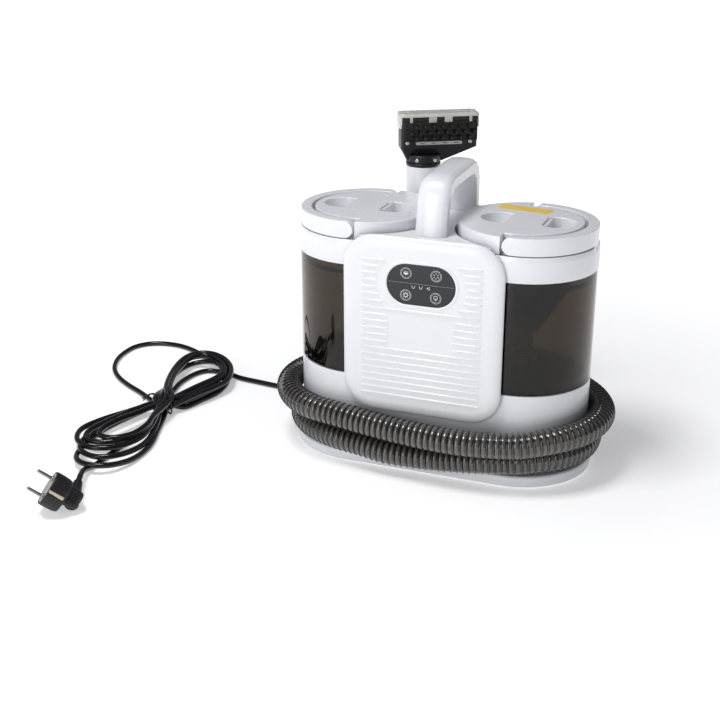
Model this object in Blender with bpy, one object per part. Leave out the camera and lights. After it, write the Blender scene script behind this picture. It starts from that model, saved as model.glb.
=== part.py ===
"""Twin-tank spot extractor: two lift-off barrel tanks on a stadium base, hose wrapped round the base."""

import math

import bmesh
import bpy
from mathutils import Matrix, Vector

# ---------------------------------------------------------------- driving dimensions (metres)
GAP = 0.0003
TANK_X = 0.0842
SHIFT_Y = -0.03055

TANK_R = 0.0705
COLLAR_R = 0.0716
LID_R = 0.0697
PLINTH_R = 0.0765
WAIST_R = 0.0560
WALL = 0.0028

FOOT_TOP = 0.0037
PLINTH_BOTTOM = 0.0015
PLINTH_TOP = 0.0130
WAIST_TOP = 0.0445
BASE_SHOULDER = 0.0485
BASE_TOP = 0.0980
TANK_BOTTOM = BASE_TOP + GAP
COLLAR_BOTTOM = 0.2150
COLLAR_TOP = 0.2397
LID_BOTTOM = 0.2400
LID_TOP = 0.2580
DECK_TOP = 0.2470

PANEL_HALF_W = 0.0824
PANEL_BOTTOM = 0.0652
PANEL_TOP = 0.2500
PANEL_BACK = -0.0733
PANEL_FRONT = -0.0802
PANEL_CORNER = 0.0330
DISPLAY_Z = 0.2045
DISPLAY_HALF_W = 0.0350
DISPLAY_HALF_H = 0.0210
DISPLAY_RECESS = 0.0012

COVER_HALF_W = 0.0780
COVER_BOTTOM = 0.0780
COVER_FRONT = 0.0733
COVER_BACK = 0.0792

TOWER_HALF_W = 0.0660
TOWER_TANK_R = 0.0726
HANDLE_HALF_W = 0.0158

BAIL_R_IN = 0.0585
BAIL_BOTTOM = LID_BOTTOM + 0.0005
BAIL_PIVOT_Z = 0.5 * (BAIL_BOTTOM + LID_TOP)
BAIL_HALF_H = 0.5 * (LID_TOP - BAIL_BOTTOM)
LID_CUT_R = 0.0550
LID_STEP = 0.0108
FINGER_FLAT = 0.0195
FINGER_DEPTH_X = 0.0280
FINGER_HALF_Y = 0.0190
FINGER_FLOOR = 0.2455

WAND_X = -0.0590
WAND_Y = 0.1010
WAND_TURN = math.radians(30.0)
WAND_R = 0.0186
WAND_GRIP_BOTTOM = 0.2000
WAND_GRIP_TOP = 0.2802
NECK_BOTTOM = 0.2845
HEAD_BOTTOM = 0.3000
HEAD_TOP = 0.3330
HEAD_LEFT = -0.0262
HEAD_RIGHT = 0.0570
HEAD_BACK = -0.0120
HEAD_FRONT = 0.0100
CAP_TOP = 0.3372

HOSE_R = 0.01375
HOSE_LOW_Z = PLINTH_TOP + HOSE_R + 0.0004
CUFF_BOTTOM = 0.1760
PORT_R = 0.0137

CORD_R = 0.0031
GLAND_ANGLE = math.radians(142.0)
GLAND_Z = 0.0073
GLAND_R = 0.0042
GLAND_OUT = 0.0250
PLUG_FACE = Vector((-0.3083, -0.2820, 0.0266))
PLUG_AXIS = Vector((-0.723, -0.357, 0.592)).normalized()
PLUG_R = 0.0185
HANK_TOP = 0.0200

# ---------------------------------------------------------------- scene and materials
for old in list(bpy.data.objects):
    bpy.data.objects.remove(old, do_unlink=True)

ASSEMBLY = bpy.data.objects.new("assembly", None)
ASSEMBLY.location = (0.0, SHIFT_Y, 0.0)
bpy.context.collection.objects.link(ASSEMBLY)


def material(name, colour, roughness, metallic=0.0, alpha=1.0):
    made = bpy.data.materials.new(name)
    made.use_nodes = True
    shader = made.node_tree.nodes["Principled BSDF"]
    shader.inputs["Base Color"].default_value = (*colour, 1.0)
    shader.inputs["Roughness"].default_value = roughness
    shader.inputs["Metallic"].default_value = metallic
    shader.inputs["Alpha"].default_value = alpha
    return made


WHITE = material("white_abs", (0.86, 0.87, 0.90), 0.28)
PANEL_WHITE = material("panel_white", (0.88, 0.89, 0.92), 0.32)
SMOKE = material("smoked_tank", (0.10, 0.095, 0.085), 0.10, alpha=0.45)
BLACK = material("black_abs", (0.02, 0.02, 0.022), 0.35)
RUBBER = material("black_rubber", (0.025, 0.025, 0.025), 0.60)
LENS = material("display_lens", (0.03, 0.03, 0.035), 0.12)
CLEAR = material("clear_cap", (0.85, 0.85, 0.82), 0.10, alpha=0.35)
GREY = material("grey_plastic", (0.45, 0.46, 0.45), 0.40)
STEEL = material("screw_steel", (0.60, 0.60, 0.58), 0.30, metallic=1.0)
BEIGE = material("beige_valve", (0.55, 0.47, 0.36), 0.45)
HOSE = material("smoked_hose", (0.07, 0.065, 0.06), 0.30)
CORD = material("cord_pvc", (0.02, 0.02, 0.02), 0.40)
BOARD = material("circuit_board", (0.05, 0.20, 0.09), 0.50)
MOTOR = material("motor_steel", (0.50, 0.50, 0.52), 0.35, metallic=1.0)


# ---------------------------------------------------------------- shape helpers
def place(name, mesh, skin, sharp=math.radians(32.0)):
    mesh.materials.clear()
    mesh.materials.append(skin)
    mesh.shade_smooth()
    mesh.set_sharp_from_angle(angle=sharp)
    thing = bpy.data.objects.new(name, mesh)
    bpy.context.collection.objects.link(thing)
    thing.parent = ASSEMBLY
    return thing


def stack(name, rings, skin, closed=False):
    """Skin a list of rings that all have the same number of points; end rings become caps."""
    shape = bmesh.new()
    loops = [[shape.verts.new(p) for p in ring] for ring in rings]
    pairs = list(zip(loops[:-1], loops[1:]))
    if closed:
        pairs.append((loops[-1], loops[0]))
    for low, high in pairs:
        for i in range(len(low)):
            j = (i + 1) % len(low)
            shape.faces.new((low[i], low[j], high[j], high[i]))
    if not closed:
        shape.faces.new(list(reversed(loops[0])))
        shape.faces.new(loops[-1])
    bmesh.ops.recalc_face_normals(shape, faces=shape.faces[:])
    mesh = bpy.data.meshes.new(name)
    shape.to_mesh(mesh)
    shape.free()
    return place(name, mesh, skin)


def circle(radius, z, sides=40, x=0.0, y=0.0):
    turn = 2.0 * math.pi / sides
    return [(x + radius * math.cos(i * turn), y + radius * math.sin(i * turn), z) for i in range(sides)]


def stadium(radius, z, sides=20):
    """Outline round two circle centres at +-TANK_X."""
    points = []
    for side, start in ((1.0, -0.5 * math.pi), (-1.0, 0.5 * math.pi)):
        for i in range(sides + 1):
            a = start + math.pi * i / sides
            points.append((side * TANK_X + radius * math.cos(a), radius * math.sin(a), z))
    return points


def round_rect(x0, x1, y0, y1, z, corner, steps=5):
    points = []
    corners = ((x1 - corner, y0 + corner, -0.5), (x1 - corner, y1 - corner, 0.0),
               (x0 + corner, y1 - corner, 0.5), (x0 + corner, y0 + corner, 1.0))
    for cx, cy, start in corners:
        for i in range(steps + 1):
            a = math.pi * (start + 0.5 * i / steps)
            points.append((cx + corner * math.cos(a), cy + corner * math.sin(a), z))
    return points


def upright(ring, y):
    """Turn a flat (x, z-as-y) ring into one that stands in the XZ plane at y."""
    return [(p[0], y, p[1]) for p in ring]


def lathe(name, profile, skin, x=0.0, y=0.0, closed=False, sides=40):
    return stack(name, [circle(r, z, sides, x, y) for r, z in profile], skin, closed)


def rod(name, start, end, radius, skin, sides=24, end_radius=None):
    start = Vector(start)
    end = Vector(end)
    far = radius if end_radius is None else end_radius
    turn = (end - start).to_track_quat("Z", "Y")
    rings = []
    for centre, r in ((start, radius), (end, far)):
        rings.append([centre + turn @ Vector(p) for p in circle(r, 0.0, sides)])
    return stack(name, rings, skin)


def block(name, low, high, skin, corner=0.0):
    ring = round_rect(low[0], high[0], low[1], high[1], 0.0, corner) if corner else [
        (low[0], low[1], 0.0), (high[0], low[1], 0.0), (high[0], high[1], 0.0), (low[0], high[1], 0.0)]
    return stack(name, [[(p[0], p[1], z) for p in ring] for z in (low[2], high[2])], skin)


def prism(name, outline, axis, low, high, skin):
    """Extrude a 2D outline along X, Y or Z between low and high."""
    def put(p, v):
        return {"X": (v, p[0], p[1]), "Y": (p[0], v, p[1]), "Z": (p[0], p[1], v)}[axis]
    return stack(name, [[put(p, v) for p in outline] for v in (low, high)], skin)


def combine(thing, other, operation):
    """Apply a Boolean with another object, which is used up."""
    boolean = thing.modifiers.new(operation.lower(), "BOOLEAN")
    boolean.operation = operation
    boolean.object = other
    graph = bpy.context.evaluated_depsgraph_get()
    graph.update()
    mesh = bpy.data.meshes.new_from_object(thing.evaluated_get(graph))
    thing.modifiers.clear()
    thing.data = mesh
    mesh.shade_smooth()
    mesh.set_sharp_from_angle(angle=math.radians(32.0))
    bpy.data.objects.remove(other, do_unlink=True)
    return thing


def cut(thing, other):
    return combine(thing, other, "DIFFERENCE")


def join(thing, other):
    return combine(thing, other, "UNION")


def soften(thing, width, segments=2, angle=40.0):
    bevel = thing.modifiers.new("edges", "BEVEL")
    bevel.width = width
    bevel.segments = segments
    bevel.limit_method = "ANGLE"
    bevel.angle_limit = math.radians(angle)
    bevel.use_clamp_overlap = True
    return thing


def set_pivot(thing, pivot):
    """Move an object's origin to its joint axis without moving its surface."""
    thing.data.transform(Matrix.Translation(-Vector(pivot)))
    thing.location = pivot
    return thing


def arc(cx, cy, radius, start, end, steps):
    return [(cx + radius * math.cos(math.radians(start + (end - start) * i / steps)),
             cy + radius * math.sin(math.radians(start + (end - start) * i / steps)))
            for i in range(steps + 1)]


def smooth_path(route, spacing):
    """Catmull-Rom curve through the route, read at an even spacing."""
    points = [Vector(p) for p in route]
    points = [2 * points[0] - points[1]] + points + [2 * points[-1] - points[-2]]
    fine = []
    for a, b, c, d in zip(points, points[1:], points[2:], points[3:]):
        for i in range(16):
            t = i / 16.0
            fine.append(0.5 * ((2 * b) + (c - a) * t + (2 * a - 5 * b + 4 * c - d) * t * t
                               + (3 * b - a - 3 * c + d) * t * t * t))
    fine.append(points[-2])
    lengths = [0.0]
    for a, b in zip(fine, fine[1:]):
        lengths.append(lengths[-1] + (b - a).length)
    count = max(2, round(lengths[-1] / spacing))
    read = []
    at = 0
    for k in range(count + 1):
        want = lengths[-1] * k / count
        while at < len(fine) - 2 and lengths[at + 1] < want:
            at += 1
        part = (want - lengths[at]) / max(1e-9, lengths[at + 1] - lengths[at])
        read.append(fine[at].lerp(fine[at + 1], min(1.0, part)))
    return read


def tube(name, points, radius, skin, resolution=2):
    curve = bpy.data.curves.new(name, "CURVE")
    curve.dimensions = "3D"
    curve.bevel_depth = radius
    curve.bevel_resolution = resolution
    curve.use_fill_caps = True
    spline = curve.splines.new("POLY")
    spline.points.add(len(points) - 1)
    for slot, p in zip(spline.points, points):
        slot.co = (p[0], p[1], p[2], 1.0)
    curve.materials.append(skin)
    thing = bpy.data.objects.new(name, curve)
    bpy.context.collection.objects.link(thing)
    thing.parent = ASSEMBLY
    return thing


# ---------------------------------------------------------------- base
def build_base():
    plinth = stack("plinth", [stadium(PLINTH_R - 0.0015, PLINTH_BOTTOM), stadium(PLINTH_R, 0.0030),
                              stadium(PLINTH_R, PLINTH_TOP - 0.0025), stadium(PLINTH_R - 0.0025, PLINTH_TOP)],
                   WHITE)
    for n, (x, y) in enumerate(((-0.112, -0.045), (0.112, -0.045), (-0.112, 0.045), (0.112, 0.045)), 1):
        cut(plinth, lathe("pocket", [(0.0080, 0.0), (0.0080, FOOT_TOP + GAP)], BLACK, x, y, sides=20))
        lathe("foot_%d" % n, [(0.0070, 0.0), (0.0077, 0.0008), (0.0077, FOOT_TOP)], RUBBER, x, y, sides=20)
    out = Vector((math.cos(GLAND_ANGLE), math.sin(GLAND_ANGLE), 0.0))
    edge = Vector((-TANK_X, 0.0, GLAND_Z)) + PLINTH_R * out
    cut(plinth, rod("gland_bore", edge - 0.0100 * out, edge + 0.0050 * out, GLAND_R + GAP, BLACK, 20))
    rod("cord_gland", edge - 0.0096 * out, edge + 0.0040 * out, GLAND_R, RUBBER, 20)
    rod("cord_relief", edge + (0.0040 + GAP) * out, edge + GLAND_OUT * out, GLAND_R - 0.0001, RUBBER, 20,
        CORD_R + 0.0004)

    outer = [(WAIST_R, PLINTH_TOP + GAP), (WAIST_R, WAIST_TOP), (TANK_R - 0.0010, BASE_SHOULDER),
             (TANK_R, BASE_SHOULDER + 0.0012), (TANK_R, BASE_TOP - 0.0010), (TANK_R - 0.0010, BASE_TOP)]
    inner = [(TANK_R - WALL, BASE_TOP - WALL), (TANK_R - WALL, BASE_SHOULDER + 0.0015),
             (WAIST_R - WALL, WAIST_TOP + 0.0005), (WAIST_R - WALL, PLINTH_TOP + GAP)]
    body = stack("lower_body", [stadium(r, z) for r, z in inner + outer], WHITE)
    cut(body, lathe("suction_hole", [(0.0135, 0.09), (0.0135, 0.11)], BLACK, -TANK_X, 0.020, sides=24))
    cut(body, lathe("water_hole", [(0.0095, 0.09), (0.0095, 0.11)], BLACK, TANK_X, 0.0, sides=24))
    lathe("suction_port", [(0.0100, 0.0905), (0.0100, BASE_TOP - GAP), (0.0132, BASE_TOP - GAP),
                           (0.0132, 0.0905)], RUBBER, -TANK_X, 0.020, closed=True, sides=24)
    lathe("water_socket", [(0.0050, 0.0850), (0.0050, BASE_TOP - GAP), (0.0092, BASE_TOP - GAP),
                           (0.0092, 0.0850)], GREY, TANK_X, 0.0, closed=True, sides=24)


def tower_outline(clear_r, half_w, y_from, y_to):
    """Hourglass section between the two tanks, one end at y_from and the other at y_to."""
    side = []
    steps = 22
    for i in range(steps + 1):
        y = y_from + (y_to - y_from) * i / steps
        reach = math.sqrt(max(0.0, clear_r ** 2 - y ** 2))
        side.append((min(half_w, TANK_X - reach), y))
    return [(x, y) for x, y in side] + [(-x, y) for x, y in reversed(side)]


def build_tower():
    front = PANEL_BACK + GAP
    rear = COVER_FRONT - GAP
    tower = prism("tower", tower_outline(TOWER_TANK_R, TOWER_HALF_W, front, rear), "Z",
                  BASE_TOP + GAP, DECK_TOP, WHITE)
    pocket_r = TOWER_TANK_R + WALL
    for y_from, y_to in ((front - 0.01, -0.016), (0.016, rear + 0.01)):
        cut(tower, prism("pocket", tower_outline(pocket_r, 0.050, y_from, y_to), "Z", 0.1010, 0.2440, BLACK))
    block("control_board", (-0.034, -0.0702, 0.180), (0.034, -0.0686, 0.230), BOARD)


def build_panels():
    def face(inset, y):
        return upright(round_rect(-PANEL_HALF_W + inset, PANEL_HALF_W - inset, PANEL_BOTTOM + inset,
                                  PANEL_TOP - inset, 0.0, PANEL_CORNER - inset, 9), y)
    panel = stack("front_panel", [face(0.0008, PANEL_BACK), face(0.0, PANEL_BACK - 0.0010),
                                  face(0.0, PANEL_FRONT + 0.0042), face(0.0008, PANEL_FRONT + 0.0020),
                                  face(0.0025, PANEL_FRONT + 0.0007), face(0.0055, PANEL_FRONT)], PANEL_WHITE)

    def oval(grow, y):
        return upright(round_rect(-DISPLAY_HALF_W - grow, DISPLAY_HALF_W + grow, DISPLAY_Z - DISPLAY_HALF_H - grow,
                                  DISPLAY_Z + DISPLAY_HALF_H + grow, 0.0, DISPLAY_HALF_H + grow - 0.0010, 9), y)
    cut(panel, stack("recess", [oval(GAP, PANEL_FRONT + DISPLAY_RECESS), oval(GAP, PANEL_FRONT - 0.01)], BLACK))
    stack("display_window", [oval(0.0, PANEL_FRONT + DISPLAY_RECESS - GAP), oval(0.0, PANEL_FRONT + 0.0001)], LENS)

    def back(inset, y):
        return upright(round_rect(-COVER_HALF_W + inset, COVER_HALF_W - inset, COVER_BOTTOM + inset,
                                  DECK_TOP - inset, 0.0, 0.020 - inset, 6), y)
    stack("rear_cover", [back(0.0, COVER_FRONT), back(0.0, COVER_BACK - 0.0020), back(0.0020, COVER_BACK)], WHITE)


def build_handle():
    outer = [(-0.0580, DECK_TOP + GAP), (-0.0550, 0.2610), (-0.0515, 0.2790), (-0.0480, 0.2895),
             (-0.0420, 0.2975), (-0.0320, 0.3022), (-0.0150, 0.3038), (0.0200, 0.3044), (0.0460, 0.3040),
             (0.0560, 0.3010), (0.0630, 0.2945), (0.0662, 0.2850), (0.0672, 0.2700), (0.0672, DECK_TOP + GAP)]
    inner = [(0.0520, DECK_TOP + GAP), (0.0520, 0.2700), (0.0505, 0.2790), (0.0460, 0.2858),
             (0.0380, 0.2888), (0.0100, 0.2892), (-0.0200, 0.2886), (-0.0300, 0.2858), (-0.0360, 0.2802),
             (-0.0395, 0.2712), (-0.0425, 0.2590), (-0.0440, DECK_TOP + GAP)]
    handle = prism("carry_handle", outer + inner, "X", -HANDLE_HALF_W, HANDLE_HALF_W, WHITE)
    soften(handle, 0.0035, 3, 50.0)


# ---------------------------------------------------------------- tanks, lids, bails
def build_tank(side, x):
    inner_bottom = TANK_BOTTOM + WALL
    neck = 0.0683
    shell = lathe(side + "_tank", [
        (TANK_R - WALL - 0.0020, inner_bottom), (TANK_R - WALL, inner_bottom + 0.0030), (TANK_R - WALL, 0.2110),
        (neck - 0.0023, 0.2160), (neck - 0.0023, COLLAR_TOP - 0.0010), (neck, COLLAR_TOP - 0.0010),
        (neck, COLLAR_BOTTOM - GAP), (TANK_R, COLLAR_BOTTOM - GAP), (TANK_R, TANK_BOTTOM + 0.0020),
        (TANK_R - 0.0020, TANK_BOTTOM)], SMOKE, x, sides=44)
    collar = lathe(side + "_collar", [
        (neck + GAP, COLLAR_BOTTOM), (COLLAR_R - 0.0012, COLLAR_BOTTOM), (COLLAR_R - 0.0002, COLLAR_BOTTOM + 0.0040),
        (COLLAR_R, COLLAR_BOTTOM + 0.0110), (COLLAR_R - 0.0003, COLLAR_TOP - 0.0040),
        (LID_R + 0.0004, COLLAR_TOP), (neck + GAP, COLLAR_TOP)], WHITE, x, closed=True, sides=44)
    out = -1.0 if x < 0 else 1.0
    outermost = x + out * COLLAR_R
    notch = [(-0.0130, COLLAR_TOP + 0.001), (-0.0080, COLLAR_TOP - 0.0055), (0.0080, COLLAR_TOP - 0.0055),
             (0.0130, COLLAR_TOP + 0.001)]
    cut(collar, prism("notch", notch, "X", outermost - 0.0022, outermost + 0.0022, BLACK))
    return shell


def d_recess(side_x):
    """D-shaped finger recess with its flat side FINGER_FLAT from the lid centre."""
    flat = side_x * FINGER_FLAT
    corner = FINGER_DEPTH_X - FINGER_HALF_Y
    centre = flat + side_x * corner
    start = -90.0 if side_x > 0 else 90.0
    return [(flat, -side_x * FINGER_HALF_Y)] + arc(centre, 0.0, FINGER_HALF_Y, start, start + 180.0, 8) + [
        (flat, side_x * FINGER_HALF_Y)]


def build_lid(side, x):
    out = -1.0 if x < 0 else 1.0
    step_full = math.degrees(math.acos(LID_STEP / LID_R))
    step_cut = math.degrees(math.acos(LID_STEP / LID_CUT_R))
    base = 0.0 if out < 0 else 180.0
    outline = arc(0.0, 0.0, LID_R, base - step_full, base + step_full, 20)
    outline += arc(0.0, 0.0, LID_CUT_R, base + step_cut, base + 360.0 - step_cut, 20)
    near_handle = abs(x) - HANDLE_HALF_W - GAP
    outline = [(-out * min(-out * px, near_handle), py) for px, py in outline]
    lid = prism(side + "_lid", [(x + px, py) for px, py in outline], "Z", LID_BOTTOM - 0.0001, LID_TOP, WHITE)
    join(lid, lathe("plug", [(0.0600, 0.2375), (0.0600, 0.2285), (0.0640, 0.2285), (0.0640, 0.2340),
                             (0.0655, 0.2340), (0.0655, LID_BOTTOM + 0.0001)], WHITE, x, sides=44))
    for way in (-1.0, 1.0):
        outline = [(x + px, py) for px, py in d_recess(way)]
        cut(lid, prism("recess", outline, "Z", FINGER_FLOOR, LID_TOP + 0.01, BLACK))
        pin = (BAIL_PIVOT_Z, 0.0033)
        cut(lid, rod("pin_hole", (x, way * 0.0510, pin[0]), (x, way * 0.0600, pin[0]), pin[1], BLACK, 10))
    flat = x + FINGER_FLAT
    cut(lid, block("latch_slot", (flat - 0.0115, -0.0145, FINGER_FLOOR), (flat + 0.001, 0.0155, LID_TOP + 0.01), BLACK))
    latch = block(side + "_latch", (flat - 0.0052, -0.0140, FINGER_FLOOR + GAP), (flat - GAP, 0.0150, LID_TOP - 0.0004),
                  WHITE)
    set_pivot(latch, (flat, 0.0, LID_TOP))
    lathe(side + "_lid_seal", [(0.0643, 0.2295), (0.0657, 0.2305), (0.0657, 0.2325), (0.0643, 0.2335)],
          RUBBER, x, closed=True, sides=44)

    start = 90.0 if out < 0 else -90.0
    half_ring = arc(x, 0.0, LID_R, start, start + 180.0, 22) + arc(x, 0.0, BAIL_R_IN, start + 180.0, start, 22)
    bail = prism(side + "_bail", half_ring, "Z", BAIL_BOTTOM, LID_TOP, WHITE)
    for way in (-1.0, 1.0):
        join(bail, rod("lug", (x, way * (BAIL_R_IN + 0.0003), BAIL_PIVOT_Z), (x, way * (LID_R - 0.0004), BAIL_PIVOT_Z),
                       BAIL_HALF_H - 0.0002, WHITE, 16))
        join(bail, rod("pin", (x, way * 0.0520, BAIL_PIVOT_Z), (x, way * 0.0620, BAIL_PIVOT_Z), 0.0030, WHITE, 10))
    set_pivot(bail, (x, 0.0, BAIL_PIVOT_Z))


def build_dirty_tank():
    x = -TANK_X
    shell = build_tank("left", x)
    cut(shell, lathe("outlet", [(0.0118, 0.09), (0.0118, 0.11)], BLACK, x, 0.020, sides=24))
    lathe("standpipe", [(0.0095, TANK_BOTTOM), (0.0095, 0.1950), (0.0115, 0.1950), (0.0115, TANK_BOTTOM)],
          BLACK, x, 0.020, closed=True, sides=24)
    build_lid("left", x)
    cage = lathe("float_cage", [(0.0080, 0.2000), (0.0080, 0.2020), (0.0148, 0.2020), (0.0148, 0.2280),
                                (0.0165, 0.2280), (0.0165, 0.2000)], BLACK, x, 0.020, closed=True, sides=20)
    for a in (0.0, math.pi / 2.0):
        way = Vector((math.cos(a), math.sin(a), 0.0))
        mid = Vector((x, 0.020, 0.2120))
        cut(cage, rod("window", mid - 0.03 * way, mid + 0.03 * way, 0.0065, BLACK, 10))
    roof = lathe("roof", [(0.0165, 0.2278), (0.0165, 0.2372)], BLACK, x, 0.020, sides=20)
    join(cage, roof)
    ball = lathe("float_ball", [(0.0060, 0.2023), (0.0110, 0.2050), (0.0135, 0.2090), (0.0135, 0.2110),
                                (0.0110, 0.2150), (0.0060, 0.2177)], GREY, x, 0.020, sides=24)
    set_pivot(ball, (x, 0.020, 0.2100))


def build_clean_tank():
    x = TANK_X
    shell = build_tank("right", x)
    cut(shell, lathe("outlet", [(0.0064, 0.09), (0.0064, 0.11)], BLACK, x, 0.0, sides=24))
    lathe("valve_seat", [(0.0040, TANK_BOTTOM + 0.0022), (0.0040, 0.1200), (0.0155, 0.1200), (0.0155, 0.1150),
                         (0.0060, 0.1130), (0.0060, TANK_BOTTOM + 0.0022)], BEIGE, x, closed=True, sides=24)
    valve = lathe("outlet_valve", [(0.0026, TANK_BOTTOM + 0.0006), (0.0032, TANK_BOTTOM + 0.0016), (0.0032, 0.1203),
                                   (0.0075, 0.1203), (0.0075, 0.1225), (0.0030, 0.1240)], RUBBER, x, sides=24)
    set_pivot(valve, (x, 0.0, TANK_BOTTOM))
    build_lid("right", x)
    lathe("fill_strainer", [(0.0150, 0.1500), (0.0420, 0.1950), (0.0420, 0.2280), (0.0435, 0.2280),
                            (0.0435, 0.1940), (0.0165, 0.1490)], BLACK, x, closed=True, sides=24)


# ---------------------------------------------------------------- machinery inside the base
def build_machinery():
    lathe("blower_motor", [(0.0280, 0.0150), (0.0300, 0.0170), (0.0300, 0.0490), (0.0280, 0.0510)], MOTOR, sides=24)
    lathe("blower_housing", [(0.0420, 0.0550), (0.0420, 0.0780), (0.0120, 0.0780), (0.0120, 0.0800),
                             (0.0440, 0.0800), (0.0440, 0.0550)], BLACK, closed=True, sides=40)
    fan = lathe("impeller", [(0.0040, 0.0516), (0.0040, 0.0560), (0.0380, 0.0580), (0.0380, 0.0600),
                             (0.0360, 0.0602), (0.0150, 0.0700), (0.0060, 0.0745)], GREY, sides=24)
    for i in range(8):
        a = 2.0 * math.pi * i / 8
        way = Vector((math.cos(a), math.sin(a), 0.0))
        turn = Vector((-way.y, way.x, 0.0))
        ring = [0.012 * way + 0.0012 * turn, 0.036 * way + 0.0012 * turn, 0.036 * way - 0.0012 * turn,
                0.012 * way - 0.0012 * turn]
        join(fan, stack("blade", [[(p.x, p.y, z) for p in ring] for z in (0.0585, 0.0720)], GREY))
    set_pivot(fan, (0.0, 0.0, 0.0650))
    block("water_pump", (0.0650, -0.0220, 0.0300), (0.1000, 0.0220, 0.0620), BLACK, 0.004)
    tube("water_line", smooth_path([(TANK_X, 0.0, 0.0845), (TANK_X, 0.0, 0.0780), (TANK_X, 0.0, 0.0700),
                                    (TANK_X, 0.0, 0.0625)], 0.006), 0.0035, GREY)
    tube("suction_duct", smooth_path([(-TANK_X, 0.020, 0.0900), (-TANK_X, 0.020, 0.0800), (-0.0790, 0.0190, 0.0690),
                                      (-0.0660, 0.0160, 0.0650), (-0.0500, 0.0130, 0.0650)], 0.007), 0.0090, BLACK)


# ---------------------------------------------------------------- wand and its dock
def build_dock():
    cradle = []
    for radius, start, end in ((0.0213, -232.0, 52.0), (0.0190, 52.0, -232.0)):
        cradle += arc(WAND_X, WAND_Y, radius, start, end, 24)
    dock = prism("wand_dock", cradle, "Z", 0.2120, 0.2360, WHITE)
    join(dock, block("plate", (WAND_X - 0.0130, COVER_BACK + GAP, 0.2080), (WAND_X + 0.0130, 0.0812, 0.2362), WHITE))


def wand_point(u, n, z):
    """A point in the wand's own frame: u across the head, n out of its working face."""
    cu = math.cos(WAND_TURN)
    su = math.sin(WAND_TURN)
    return (WAND_X + u * cu + n * su, WAND_Y + u * su - n * cu, z)


def head_outline(grow, steps=8):
    corner = 0.0035 + grow
    ring = round_rect(HEAD_LEFT - grow, HEAD_RIGHT + grow, HEAD_BACK - grow, HEAD_FRONT + grow, 0.0, corner, steps - 1)
    return [(p[0], p[1]) for p in ring]


def head_ring(grow, z):
    return [wand_point(u, n, z) for u, n in head_outline(grow)]


def web_ring(z):
    """Section of the web that widens from the neck band to the flat head."""
    share = (z - NECK_BOTTOM) / (HEAD_BOTTOM - NECK_BOTTOM)
    ring = []
    for u, n in head_outline(0.0):
        low_u = -0.0180 + 0.0365 * (u - HEAD_LEFT) / (HEAD_RIGHT - HEAD_LEFT)
        ring.append(wand_point(low_u + (u - low_u) * share, n * (0.5 + 0.5 * share), z))
    return ring


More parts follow.
